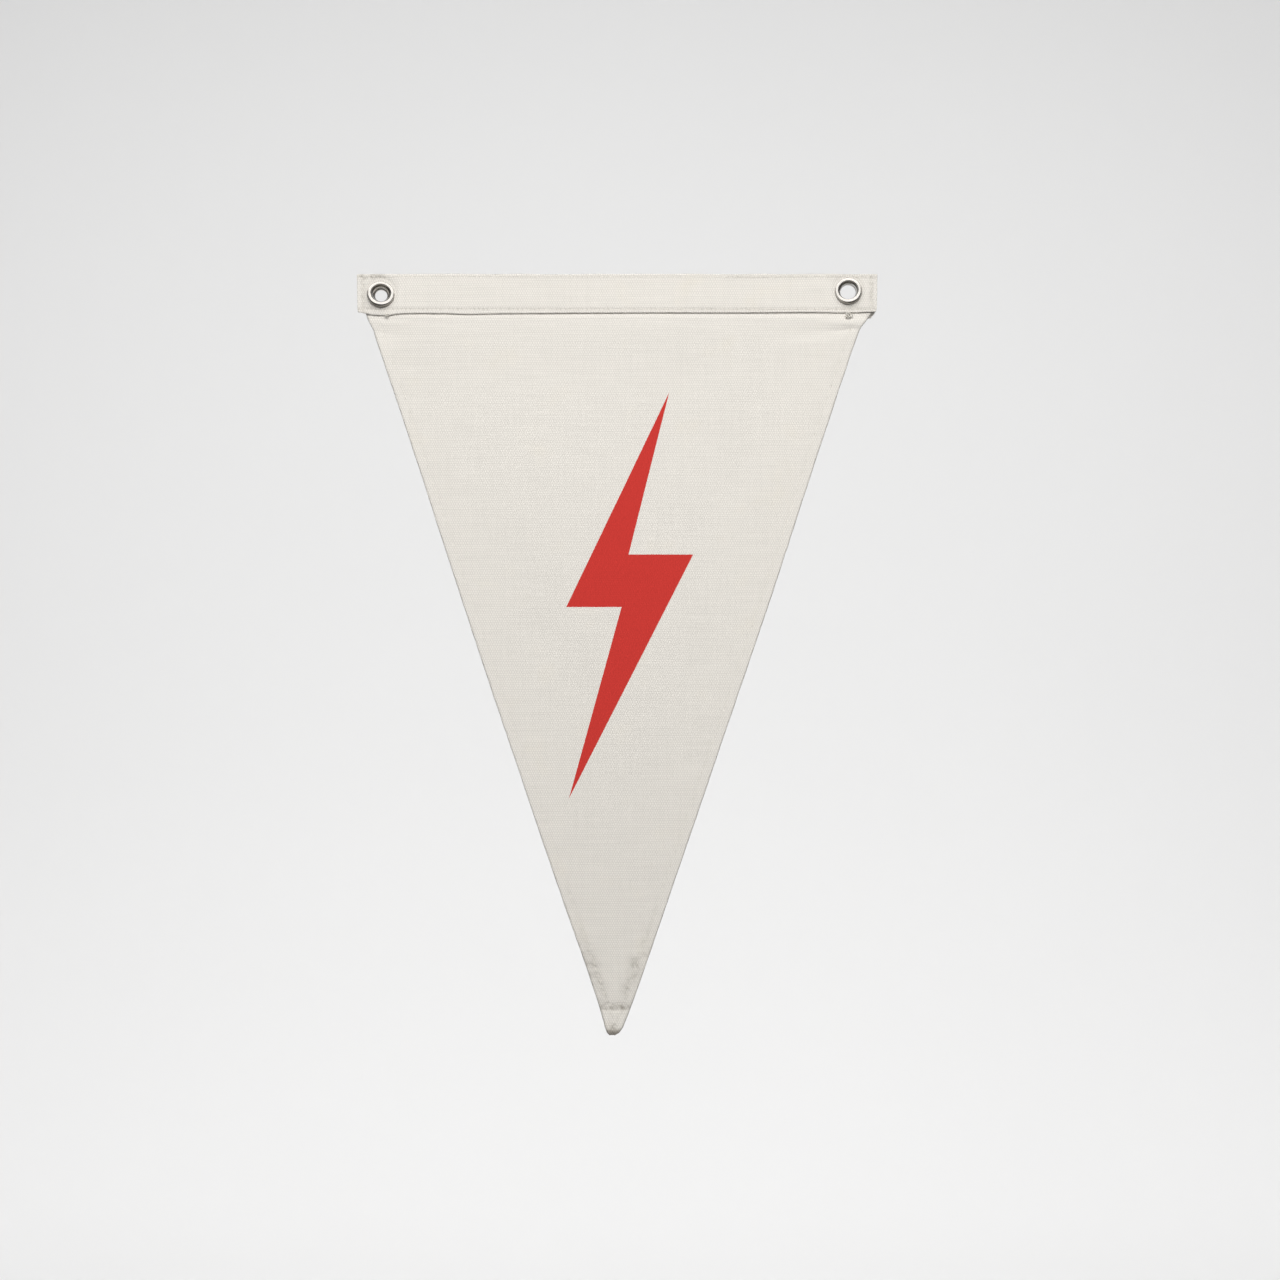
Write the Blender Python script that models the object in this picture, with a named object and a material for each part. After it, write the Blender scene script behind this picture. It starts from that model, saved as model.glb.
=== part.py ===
# Pennant flag of cotton canvas, hung point down from a folded header with an eyelet at each end.
# Sizes are in metres, and in millimetres inside the tables. A drop is measured down from the
# header's top edge. +X is to the right as seen from the front, the front faces -Y and +Z is up.
# The origin is the middle of the header's top edge.

import math

import bmesh
import bpy
import numpy as np

MM = 0.001

# Cloth, and the gaps between layers and between pieces
CLOTH_THICKNESS = 1.0 * MM
LAYER_GAP = 0.3 * MM
FIT_GAP = 0.3 * MM

# Header strip: a strip folded over the pennant's top edge
HEADER_WIDTH = 304.8 * MM
HEADER_END_TAPER = 1.2 * MM
HEADER_LAYER_GAP = 0.6 * MM
HEADER_TAPER_DROP = 23.0 * MM
HEADER_CORNER_INSET = 0.8 * MM
HEADER_CORNER_START = 20.5 * MM
HEADER_CORNER_END = 24.5 * MM
HEADER_END_BAND = 3.4 * MM

# The strip's back layer stands back where the pennant is tucked in, and more where a hem is
TUCK_EASE = 0.08 * MM
TUCK_START_DROP = 18.2 * MM
TUCK_FULL_DROP = 20.4 * MM
HEM_BULGE_FULL_DROP = 22.0 * MM
HEM_BULGE_OUTER = 149.2 * MM
HEM_BULGE_INNER = 139.5 * MM
HEM_BULGE_EASE = 6.0 * MM
HEM_BULGE_AT_END = 0.35

# Pennant cloth
PENNANT_TOP_DROP = 20.6 * MM
PENNANT_FOOT_DROP = 446.4 * MM
HEM_WIDTH = 6.0 * MM
HEM_TRIM = 1.9 * MM  # each hem starts this much lower than the cloth between them
HEM_TRIM_END_DROP = 34.0 * MM
HEM_TRIM_START_INSET = 7.2 * MM
HEM_TRIM_END_INSET = 15.0 * MM
HEM_PARTING = 0.4 * MM
BELLY_DEPTH = 1.6 * MM
LOOSE_START_DROP = 24.5 * MM  # the cloth is held flat in the header down to here
LOOSE_FULL_DROP = 28.5 * MM
WAVE_START_DROP = 27.0 * MM  # the header's waves die out in the pennant between these drops
WAVE_END_DROP = 75.0 * MM

# Folded tip: the point is turned up behind the front layer, which it pushes forward
TIP_CREASE_DROP = 431.8 * MM
TIP_CREASE_SPAN = 1.5 * MM
TIP_STEP = 0.7 * MM
TIP_HOLLOW = 0.25 * MM
TIP_HOLLOW_DROP = 428.6 * MM
TIP_HOLLOW_SPREAD = 2.0 * MM
TIP_ROUND_START = 443.6 * MM
TIP_ROUND_END = 446.9 * MM

# Eyelets and their washers
EYELET_LEFT_X = -138.4 * MM
EYELET_LEFT_DROP = 11.2 * MM
EYELET_RIGHT_X = 135.4 * MM
EYELET_RIGHT_DROP = 9.7 * MM
EYELET_HOLE_RADIUS = 5.55 * MM
WASHER_RADIUS = 6.9 * MM
WASHER_HOLE_RADIUS = 5.65 * MM
WASHER_THICKNESS = 0.6 * MM
RING_SIDES = 32
CUTTER_LENGTH = 12.0 * MM


def table(columns, *rows):
    # Named columns from rows of millimetres. A name that ends in _deg holds degrees.
    named = {}
    for name, values in zip(columns.split(), zip(*rows)):
        named[name] = np.array(values) * (1.0 if name.endswith("_deg") else MM)
    return named


# The header's lower edges. The back layer shows below the front one at both ends.
HEADER_FOOT = table(
    "x front_drop back_drop",
    (-152.4, 22.8, 23.4),
    (-148.0, 23.5, 25.2),
    (-138.0, 25.1, 25.3),
    (-121.0, 23.6, 24.6),
    (-95.0, 24.1, 24.3),
    (-72.0, 24.1, 24.5),
    (-30.0, 23.2, 24.0),
    (40.0, 23.1, 24.1),
    (100.0, 22.9, 24.4),
    (143.0, 22.7, 25.6),
    (149.0, 22.6, 25.6),
    (152.4, 22.5, 23.6),
)

# Slow waves along the header, positive to the front, flat round the eyelets
HEADER_WAVES = table(
    "x spread height",
    (-84.0, 16.0, 0.5),
    (-32.0, 18.0, -0.4),
    (24.0, 16.0, 0.4),
    (74.0, 14.0, -0.5),
    (110.0, 8.0, 0.4),
)

# The pennant's two side edges
PENNANT_OUTLINE = table(
    "drop left right",
    (19.0, -148.2, 150.2),
    (26.0, -145.9, 146.3),
    (33.0, -143.3, 142.5),
    (60.0, -134.2, 132.9),
    (103.0, -119.9, 118.6),
    (192.0, -90.9, 89.5),
    (280.0, -61.6, 59.6),
    (368.0, -31.7, 29.7),
    (420.0, -13.7, 11.7),
    (432.0, -9.9, 7.4),
    (438.0, -8.2, 5.2),
    (443.0, -6.7, 3.2),
    (445.2, -5.6, 1.5),
    (446.4, -4.2, -0.5),
)

# Creases and soft folds of the pennant. Each is a long soft ridge, or a trough where its height
# is negative, that turns anticlockwise from level by its tilt as seen from the front.
PENNANT_FOLDS = table(
    "x drop half_length half_width height tilt_deg",
    (136.0, 29.8, 11.0, 2.6, 0.9, 3.0),
    (120.0, 33.6, 17.0, 3.2, -0.8, 5.0),
    (-133.0, 35.2, 8.0, 3.0, -0.5, -4.0),
    (-62.0, 118.0, 48.0, 24.0, 0.8, -68.0),
    (62.0, 128.0, 52.0, 22.0, -0.7, 70.0),
    (96.0, 104.0, 34.0, 9.0, 0.5, 66.0),
    (-38.0, 236.0, 56.0, 16.0, -0.6, -72.0),
    (14.0, 312.0, 60.0, 18.0, 0.6, 84.0),
)

# Bands of rows down the pennant: where each ends, and how many steps it takes
PENNANT_BANDS = (
    (27.0 * MM, 4),
    (38.0 * MM, 6),
    (60.0 * MM, 4),
    (130.0 * MM, 5),
    (390.0 * MM, 8),
    (424.0 * MM, 3),
    (430.6 * MM, 3),
    (433.2 * MM, 4),
    (443.6 * MM, 3),
    (PENNANT_FOOT_DROP, 4),
)
PENNANT_COLUMNS = 27
HEM_COLUMNS = 2
EDGE_STEPS = 4

# Sections of the header: steps up its front layer, round its fold and down its back layer
HEADER_FRONT_STEPS = 5
HEADER_FOLD_STEPS = 5
HEADER_BACK_DROPS = np.array((9.0, 18.2, 18.8, 19.3, 19.8, 20.4, 21.2, 22.0)) * MM
HEADER_END_STATIONS = np.array((0.0, 1.7, 3.4, 6.5, 11.0, 15.0, 19.0, 25.0)) * MM
HEADER_MIDDLE_STATIONS = 21

# Turned section of an eyelet, from under its flange over the rim, through the throat and round
# the curl at the back. Radius from its axis, and height to the front of the header's front face.
EYELET_SECTION = table(
    "radius height",
    (7.7, 0.35),
    (8.2, 0.5),
    (8.15, 1.05),
    (7.75, 1.6),
    (7.2, 1.95),
    (6.6, 2.05),
    (6.0, 1.9),
    (5.4, 1.4),
    (4.95, 0.7),
    (4.7, -0.2),
    (4.7, -3.3),
    (4.9, -4.1),
    (5.5, -4.6),
    (6.2, -4.45),
    (6.5, -3.85),
    (6.1, -3.85),
    (5.8, -4.1),
    (5.4, -3.85),
    (5.2, -3.3),
    (5.2, 0.0),
    (5.5, 0.8),
    (6.0, 1.35),
    (6.6, 1.5),
    (7.2, 1.35),
    (7.55, 0.95),
)


def soft_step(start, end, at):
    # Rises from 0 at start to 1 at end, level at both.
    part = np.clip((at - start) / (end - start), 0.0, 1.0)
    return part * part * (3.0 - 2.0 * part)


def smooth_curve(at, places, values):
    # A cubic curve through the values, with the slope at each from its two neighbours.
    slopes = np.gradient(values, places)
    index = np.clip(np.searchsorted(places, at) - 1, 0, len(places) - 2)
    span = places[index + 1] - places[index]
    part = np.clip((at - places[index]) / span, 0.0, 1.0)
    rise = values[index + 1] - values[index]
    start = slopes[index] * span
    end = slopes[index + 1] * span
    return values[index] + part * (
        start + part * (3.0 * rise - 2.0 * start - end + part * (start + end - 2.0 * rise))
    )


def header_wave(x):
    # How far the header stands to the front at x.
    total = np.zeros_like(x)
    for place, spread, height in zip(*HEADER_WAVES.values()):
        total += height * np.exp(-0.5 * ((x - place) / spread) ** 2)
    return total


def pennant_folds(x, drop):
    # How far the creases and folds stand to the front.
    total = np.zeros_like(x)
    for centre, middle, half_length, half_width, height, tilt in zip(*PENNANT_FOLDS.values()):
        turn = math.radians(tilt)
        right = x - centre
        up = middle - drop
        along = (right * math.cos(turn) + up * math.sin(turn)) / half_length
        across = (up * math.cos(turn) - right * math.sin(turn)) / half_width
        total += height * np.exp(-0.5 * (along**2 + across**2))
    return total


def pennant_forward(x, drop):
    # How far the pennant's front face stands to the front of its place in the header.
    loose = soft_step(LOOSE_START_DROP, LOOSE_FULL_DROP, drop)
    wave = header_wave(x) * (1.0 - soft_step(WAVE_START_DROP, WAVE_END_DROP, drop))
    below = np.clip((drop - LOOSE_START_DROP) / (PENNANT_FOOT_DROP - LOOSE_START_DROP), 0.0, 1.0)
    belly = BELLY_DEPTH * np.sin(math.pi * below) ** 2
    hollow = TIP_HOLLOW * np.exp(-0.5 * ((drop - TIP_HOLLOW_DROP) / TIP_HOLLOW_SPREAD) ** 2)
    return wave + loose * (pennant_folds(x, drop) + belly) - hollow + TIP_STEP * tip_part(drop)


def tip_part(drop):
    # 0 above the tip's crease and 1 below it.
    half = 0.5 * TIP_CREASE_SPAN
    return soft_step(TIP_CREASE_DROP - half, TIP_CREASE_DROP + half, drop)


def grid_normals(points):
    # Unit normals of a grid of points, square to its rows and columns.
    normals = np.cross(np.gradient(points, axis=1), np.gradient(points, axis=0))
    return normals / np.linalg.norm(normals, axis=2, keepdims=True)


def sheet_mesh(name, outer, inner):
    # A closed sheet between two matching grids of points, with quads round all four edges.
    rows, columns = outer.shape[:2]
    mesh = bpy.data.meshes.new(name)
    shape = bmesh.new()
    sides = []
    for points in (outer, inner):
        sides.append([[shape.verts.new(point) for point in row] for row in points])
    front, back = sides
    for i in range(rows - 1):
        for j in range(columns - 1):
            for side in sides:
                shape.faces.new((side[i][j], side[i][j + 1], side[i + 1][j + 1], side[i + 1][j]))
    for i in range(rows - 1):
        for j in (0, columns - 1):
            shape.faces.new((front[i][j], front[i + 1][j], back[i + 1][j], back[i][j]))
    for j in range(columns - 1):
        for i in (0, rows - 1):
            shape.faces.new((front[i][j], front[i][j + 1], back[i][j + 1], back[i][j]))
    bmesh.ops.recalc_face_normals(shape, faces=shape.faces)
    shape.to_mesh(mesh)
    shape.free()
    return mesh


def turned_mesh(name, radii, heights):
    # A ring turned about the Y axis from a closed section. A height stands to the front.
    mesh = bpy.data.meshes.new(name)
    shape = bmesh.new()
    loop = [shape.verts.new((radius, -height, 0.0)) for radius, height in zip(radii, heights)]
    edges = [shape.edges.new((loop[i - 1], loop[i])) for i in range(len(loop))]
    bmesh.ops.spin(
        shape, geom=loop + edges, cent=(0, 0, 0), axis=(0, 1, 0), angle=2.0 * math.pi, steps=RING_SIDES
    )
    bmesh.ops.remove_doubles(shape, verts=shape.verts, dist=0.001 * MM)
    bmesh.ops.recalc_face_normals(shape, faces=shape.faces)
    shape.to_mesh(mesh)
    shape.free()
    return mesh


def finish_object(mesh, material, sharp_degrees=40.0):
    # Puts a mesh in the scene as an object, shaded smooth but for its sharp edges.
    mesh.shade_smooth()
    mesh.set_sharp_from_angle(angle=math.radians(sharp_degrees))
    mesh.materials.append(material)
    piece = bpy.data.objects.new(mesh.name, mesh)
    bpy.context.scene.collection.objects.link(piece)
    return piece


def make_material(name, color, roughness, metallic):
    material = bpy.data.materials.new(name)
    material.use_nodes = True
    shader = material.node_tree.nodes["Principled BSDF"]
    shader.inputs["Base Color"].default_value = (*color, 1.0)
    shader.inputs["Roughness"].default_value = roughness
    shader.inputs["Metallic"].default_value = metallic
    return material


def hem_bulge(x):
    # 1 where a hem is tucked into the header, falling off inwards and towards the header's end.
    distance = np.abs(x)
    inside = soft_step(HEM_BULGE_INNER - HEM_BULGE_EASE, HEM_BULGE_INNER, distance)
    outside = soft_step(HEM_BULGE_OUTER, 0.5 * HEADER_WIDTH, distance)
    return inside * (1.0 - (1.0 - HEM_BULGE_AT_END) * outside)


def header_x(station, drop):
    # The header's ends lean in a little towards the foot, and its lower corners are set in.
    end = np.abs(station) / (0.5 * HEADER_WIDTH)
    lean = HEADER_END_TAPER * end * drop / HEADER_TAPER_DROP
    last = soft_step(0.5 * HEADER_WIDTH - HEADER_END_BAND, 0.5 * HEADER_WIDTH, np.abs(station))
    corner = HEADER_CORNER_INSET * last * soft_step(HEADER_CORNER_START, HEADER_CORNER_END, drop)
    return station - np.sign(station) * (lean + corner)


def header_stations():
    ends = HEADER_END_STATIONS - 0.5 * HEADER_WIDTH
    middle = np.linspace(ends[-1], -ends[-1], HEADER_MIDDLE_STATIONS + 2)[1:-1]
    return np.concatenate((ends, middle, -ends[::-1]))


def make_header_strip(material):
    # One strip that runs up the front, over the top edge and down the back.
    stations = header_stations()
    front_foot = smooth_curve(stations, HEADER_FOOT["x"], HEADER_FOOT["front_drop"])
    back_foot = smooth_curve(stations, HEADER_FOOT["x"], HEADER_FOOT["back_drop"])
    fold_radius = 0.5 * (HEADER_LAYER_GAP + CLOTH_THICKNESS)
    fold_drop = fold_radius + 0.5 * CLOTH_THICKNESS
    drops = []
    depths = []
    for part in np.linspace(1.0, 0.0, HEADER_FRONT_STEPS + 1)[:-1]:
        drops.append(fold_drop + part * (front_foot - fold_drop))
        depths.append(np.full_like(stations, -fold_radius))
    for turn in np.linspace(0.0, math.pi, HEADER_FOLD_STEPS + 1):
        drops.append(np.full_like(stations, fold_drop - fold_radius * math.sin(turn)))
        depths.append(np.full_like(stations, -fold_radius * math.cos(turn)))
    tuck_depth = CLOTH_THICKNESS + 2.0 * FIT_GAP + TUCK_EASE - HEADER_LAYER_GAP
    for drop in [*HEADER_BACK_DROPS, back_foot]:
        tuck = tuck_depth * soft_step(TUCK_START_DROP, TUCK_FULL_DROP, drop)
        bulge = (CLOTH_THICKNESS + LAYER_GAP) * hem_bulge(stations)
        bulge = bulge * soft_step(TUCK_START_DROP, HEM_BULGE_FULL_DROP, drop)
        drops.append(np.zeros_like(stations) + drop)
        depths.append(fold_radius + tuck + bulge)
    drops = np.array(drops)
    across = header_x(np.broadcast_to(stations, drops.shape), drops)
    depths = np.array(depths) - header_wave(across)
    centre = np.stack((across, depths, -drops), axis=2)
    half = 0.5 * CLOTH_THICKNESS * grid_normals(centre)
    return finish_object(sheet_mesh("header_strip", centre + half, centre - half), material)


def pennant_rows():
    rows = [np.array([PENNANT_TOP_DROP])]
    start = PENNANT_TOP_DROP
    for end, steps in PENNANT_BANDS:
        rows.append(np.linspace(start, end, steps + 1)[1:])
        start = end
    return np.concatenate(rows)


def spread_columns(count):
    # Parts of the width from 0 to 1, closer together near both edges.
    even = np.linspace(0.0, 1.0, count)
    return 0.4 * even + 0.6 * 0.5 * (1.0 - np.cos(math.pi * even))


def make_pennant_cloth(material):
    # Level rows of one ribbon each: in from the left hem's raw edge, round the left fold, across
    # the front, round the right fold and in along the right hem.
    rows = pennant_rows()[:, None]
    left = smooth_curve(rows, PENNANT_OUTLINE["drop"], PENNANT_OUTLINE["left"])
    right = smooth_curve(rows, PENNANT_OUTLINE["drop"], PENNANT_OUTLINE["right"])
    width = right - left
    turned_up = (CLOTH_THICKNESS + LAYER_GAP) * tip_part(rows)
    gap = LAYER_GAP + turned_up
    fold_depth = CLOTH_THICKNESS + gap
    edge_radius = np.minimum(0.5 * (CLOTH_THICKNESS + fold_depth), 0.3 * width)
    hem = np.minimum(HEM_WIDTH, 0.5 * width - HEM_PARTING)
    across = []
    behind = []
    hem_parts = np.linspace(1.0, 0.0, HEM_COLUMNS)
    edge_turns = np.linspace(0.5 * math.pi, -0.5 * math.pi, EDGE_STEPS + 1)
    fold_radius = edge_radius - 0.5 * CLOTH_THICKNESS
    for edge, inwards in ((left, 1.0), (right, -1.0)):
        hem_side = edge + inwards * (edge_radius + hem_parts * (hem - edge_radius))
        fold_side = edge + inwards * (edge_radius - fold_radius * np.cos(edge_turns[1:-1]))
        hem_behind = np.broadcast_to(fold_depth, hem_side.shape)
        fold_behind = 0.5 * fold_depth * (1.0 + np.sin(edge_turns[1:-1]))
        across.append(np.concatenate((hem_side, fold_side), axis=1))
        behind.append(np.concatenate((hem_behind, fold_behind), axis=1))
    parts = spread_columns(PENNANT_COLUMNS)
    front_side = left + edge_radius + parts * (width - 2.0 * edge_radius)
    x = np.concatenate((across[0], front_side, across[1][:, ::-1]), axis=1)
    depth = np.concatenate((behind[0], np.zeros_like(front_side), behind[1][:, ::-1]), axis=1)

    # The hems' top corners are trimmed inside the header
    inset = np.minimum(x - left, right - x)
    trim = HEM_TRIM * (1.0 - soft_step(HEM_TRIM_START_INSET, HEM_TRIM_END_INSET, inset))
    drop = rows + trim * (1.0 - soft_step(PENNANT_TOP_DROP, HEM_TRIM_END_DROP, rows))

    front_face = FIT_GAP - 0.5 * HEADER_LAYER_GAP - pennant_forward(x, drop)
    centre = np.stack((x, front_face + 0.5 * CLOTH_THICKNESS + depth, -drop), axis=2)
    normals = grid_normals(centre)

    # The turned-up point thickens the front layer from behind, clear of the side folds
    inner_half = np.full_like(x, 0.5 * CLOTH_THICKNESS)
    first = HEM_COLUMNS + EDGE_STEPS + 1
    inner_half[:, first:-first] += turned_up
    outer = centre + 0.5 * CLOTH_THICKNESS * normals
    inner = centre - inner_half[:, :, None] * normals

    # The tip's end is rounded through its thickness
    past = np.clip((rows - TIP_ROUND_START) / (TIP_ROUND_END - TIP_ROUND_START), 0.0, 1.0)
    keep = np.sqrt(1.0 - past**2)
    middle = FIT_GAP - 0.5 * HEADER_LAYER_GAP - TIP_STEP + 0.5 * (CLOTH_THICKNESS + fold_depth)
    for points in (outer, inner):
        points[:, :, 1] = middle + (points[:, :, 1] - middle) * keep
    return finish_object(sheet_mesh("pennant_cloth", outer, inner), material)


def cut_eyelet_hole(strip, name, x, drop):
    # A round hole through both layers of the header.
    mesh = bpy.data.meshes.new(name)
    shape = bmesh.new()
    bmesh.ops.create_cone(
        shape,
        cap_ends=True,
        segments=RING_SIDES,
        radius1=EYELET_HOLE_RADIUS,
        radius2=EYELET_HOLE_RADIUS,
        depth=CUTTER_LENGTH,
    )
    shape.to_mesh(mesh)
    shape.free()
    cutter = bpy.data.objects.new(name, mesh)
    cutter.location = (x, 0.0, -drop)
    cutter.rotation_euler = (0.5 * math.pi, 0.0, 0.0)
    cutter.hide_render = True
    cutter.display_type = "WIRE"
    bpy.context.scene.collection.objects.link(cutter)
    hole = strip.modifiers.new(name, "BOOLEAN")
    hole.operation = "DIFFERENCE"
    hole.solver = "EXACT"
    hole.object = cutter


def make_eyelet(name, x, drop, material):
    # A pressed grommet: rounded flange, throat through the header, curled over its washer.
    header_front = -0.5 * HEADER_LAYER_GAP - CLOTH_THICKNESS
    mesh = turned_mesh(name, EYELET_SECTION["radius"], EYELET_SECTION["height"])
    eyelet = finish_object(mesh, material)
    eyelet.location = (x, header_front, -drop)
    return eyelet


def make_washer(name, x, drop, material):
    # A plain ring behind the header, under the eyelet's curl.
    header_back = 0.5 * HEADER_LAYER_GAP + CLOTH_THICKNESS
    near = -FIT_GAP
    far = near - WASHER_THICKNESS
    radii = (WASHER_HOLE_RADIUS, WASHER_RADIUS, WASHER_RADIUS, WASHER_HOLE_RADIUS)
    washer = finish_object(turned_mesh(name, radii, (near, near, far, far)), material)
    washer.location = (x, header_back, -drop)
    return washer


def build():
    for old in list(bpy.data.objects):
        bpy.data.objects.remove(old, do_unlink=True)
    canvas = make_material("canvas", (0.80, 0.77, 0.71), 0.92, 0.0)
    nickel = make_material("nickel", (0.62, 0.60, 0.56), 0.28, 1.0)
    make_pennant_cloth(canvas)
    strip = make_header_strip(canvas)
    eyelets = (
        ("left", EYELET_LEFT_X, EYELET_LEFT_DROP),
        ("right", EYELET_RIGHT_X, EYELET_RIGHT_DROP),
    )
    for side, x, drop in eyelets:
        cut_eyelet_hole(strip, "hole_cutter_" + side, x, drop)
        make_eyelet("eyelet_" + side, x, drop, nickel)
        make_washer("washer_" + side, x, drop, nickel)


build()
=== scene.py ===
# Pennant flag of cotton canvas on two nickel eyelets. Sizes are in millimetres until a mesh is made.
# A drop is measured down from the header's top edge, and forward is towards the viewer (-Y).
import math

import bpy
import numpy as np
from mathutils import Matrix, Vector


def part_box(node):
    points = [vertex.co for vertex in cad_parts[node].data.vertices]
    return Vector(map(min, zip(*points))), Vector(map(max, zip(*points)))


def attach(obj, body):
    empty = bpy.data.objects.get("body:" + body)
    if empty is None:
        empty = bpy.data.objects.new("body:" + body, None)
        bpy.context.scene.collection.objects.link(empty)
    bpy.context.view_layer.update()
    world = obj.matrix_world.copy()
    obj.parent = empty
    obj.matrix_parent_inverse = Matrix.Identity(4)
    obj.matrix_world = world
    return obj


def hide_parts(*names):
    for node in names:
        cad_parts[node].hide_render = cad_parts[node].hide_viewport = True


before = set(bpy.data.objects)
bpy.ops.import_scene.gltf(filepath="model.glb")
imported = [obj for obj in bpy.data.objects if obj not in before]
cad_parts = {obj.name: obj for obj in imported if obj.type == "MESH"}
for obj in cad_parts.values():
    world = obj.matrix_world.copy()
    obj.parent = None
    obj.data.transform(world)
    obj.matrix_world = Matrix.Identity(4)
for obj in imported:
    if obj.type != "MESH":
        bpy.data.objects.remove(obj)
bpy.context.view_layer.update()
mm = 0.001
dice = np.random.default_rng(41)


def boxMiddle(node):
    # The middle of a CAD node's box.
    low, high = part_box(node)
    return [0.5 * (a + b) / mm for a, b in zip(low, high)]


# Shapes as whole arrays

def smoothStep(start, end, at):
    # Rises from 0 at start to 1 at end, level at both.
    part = np.clip((at - start) / (end - start), 0.0, 1.0)
    return part * part * (3.0 - 2.0 * part)


def riseAndFall(start, full, fade, end, at):
    # Rises from 0 at start to 1 at full, and falls from fade to 0 again at end.
    return smoothStep(start, full, at) * (1.0 - smoothStep(fade, end, at))


def hump(at, middle, spread):
    # A bell of height 1 at middle, down to 0.6 one spread away.
    return np.exp(-0.5 * ((at - middle) / spread) ** 2)


def smoothCurve(at, places, values):
    # A cubic through the values, with the slope at each from its two neighbours.
    places = np.asarray(places, float)
    values = np.asarray(values, float)
    slopes = np.gradient(values, places)
    index = np.clip(np.searchsorted(places, at) - 1, 0, len(places) - 2)
    span = places[index + 1] - places[index]
    part = np.clip((at - places[index]) / span, 0.0, 1.0)
    rise = values[index + 1] - values[index]
    start = slopes[index] * span
    end = slopes[index + 1] * span
    bend = 3.0 * rise - 2.0 * start - end + part * (start + end - 2.0 * rise)
    return values[index] + part * (start + part * bend)


def softNoise(u, v, cell, seed):
    # Smooth noise from -1 to 1: random values at the corners of cells, eased across each cell.
    size = 89
    corners = np.random.default_rng(seed).uniform(-1.0, 1.0, (size, size))
    a = np.asarray(u) / cell[0]
    b = np.asarray(v) / cell[1]
    i = np.floor(a).astype(int)
    j = np.floor(b).astype(int)
    s = smoothStep(0.0, 1.0, a - i)
    t = smoothStep(0.0, 1.0, b - j)
    near = corners[i % size, j % size] * (1.0 - s) + corners[(i + 1) % size, j % size] * s
    far = corners[i % size, (j + 1) % size] * (1.0 - s) + corners[(i + 1) % size, (j + 1) % size] * s
    return near * (1.0 - t) + far * t


def gridNormals(points):
    # Unit normals of a grid of points: the cross product of its two directions.
    normals = np.cross(np.gradient(points, axis=1), np.gradient(points, axis=0))
    return normals / np.linalg.norm(normals, axis=2, keepdims=True)


def gridQuads(index):
    # Four-sided faces between the neighbours in a grid of point numbers.
    return np.stack((index[:-1, :-1], index[1:, :-1], index[1:, 1:], index[:-1, 1:]), axis=2)


def quadMesh(name, points, quads, attributes=None):
    # A mesh object from all its points in millimetres and its four-sided faces.
    mesh = bpy.data.meshes.new(name)
    mesh.vertices.add(len(points))
    mesh.vertices.foreach_set("co", (points * mm).astype(np.float32).ravel())
    mesh.loops.add(4 * len(quads))
    mesh.loops.foreach_set("vertex_index", quads.astype(np.int32).ravel())
    mesh.polygons.add(len(quads))
    mesh.polygons.foreach_set("loop_start", np.arange(0, 4 * len(quads), 4, dtype=np.int32))
    mesh.update(calc_edges=True)
    for label, values in (attributes or {}).items():
        kind = "FLOAT_VECTOR" if values.ndim == 2 else "FLOAT"
        layer = mesh.attributes.new(label, kind, "POINT")
        field = "vector" if values.ndim == 2 else "value"
        layer.data.foreach_set(field, values.astype(np.float32).ravel())
    mesh.shade_smooth()
    piece = bpy.data.objects.new(name, mesh)
    bpy.context.scene.collection.objects.link(piece)
    return piece


def sheetPiece(name, outer, inner, flatOuter, soilAndShade):
    # A cloth: two matching grids of points joined round their four edges into one closed skin.
    # The third number of a flat place is above 0 where the cloth faces forward, and 0 inside.
    rows, columns = outer.shape[:2]
    index = np.arange(rows * columns).reshape(rows, columns)
    back = index + rows * columns
    faces = [gridQuads(index), gridQuads(back)[:, :, [0, 3, 2, 1]]]
    rims = [
        np.stack((index[1:, 0], index[:-1, 0], back[:-1, 0], back[1:, 0]), axis=1),
        np.stack((index[:-1, -1], index[1:, -1], back[1:, -1], back[:-1, -1]), axis=1),
        np.stack((index[0, :-1], index[0, 1:], back[0, 1:], back[0, :-1]), axis=1),
        np.stack((index[-1, 1:], index[-1, :-1], back[-1, :-1], back[-1, 1:]), axis=1),
    ]
    quads = np.concatenate([side.reshape(-1, 4) for side in faces] + rims)
    corner = outer[rows // 2, columns // 2]
    right = outer[rows // 2, columns // 2 + 1] - corner
    down = outer[rows // 2 + 1, columns // 2] - corner
    if np.dot(np.cross(down, right), corner - inner[rows // 2, columns // 2]) < 0.0:
        quads = quads[:, ::-1]
    points = np.concatenate((outer.reshape(-1, 3), inner.reshape(-1, 3)))
    flatInner = flatOuter * (1.0, 1.0, 0.0)
    flat = np.concatenate((flatOuter.reshape(-1, 3), flatInner.reshape(-1, 3)))
    # The darkening marks, soiling and painted shade alike, go on both faces.
    marks = np.concatenate((soilAndShade.ravel(), soilAndShade.ravel()))
    return quadMesh(name, points, quads, {"flatPlace": flat, "soilAndShade": marks})


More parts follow.
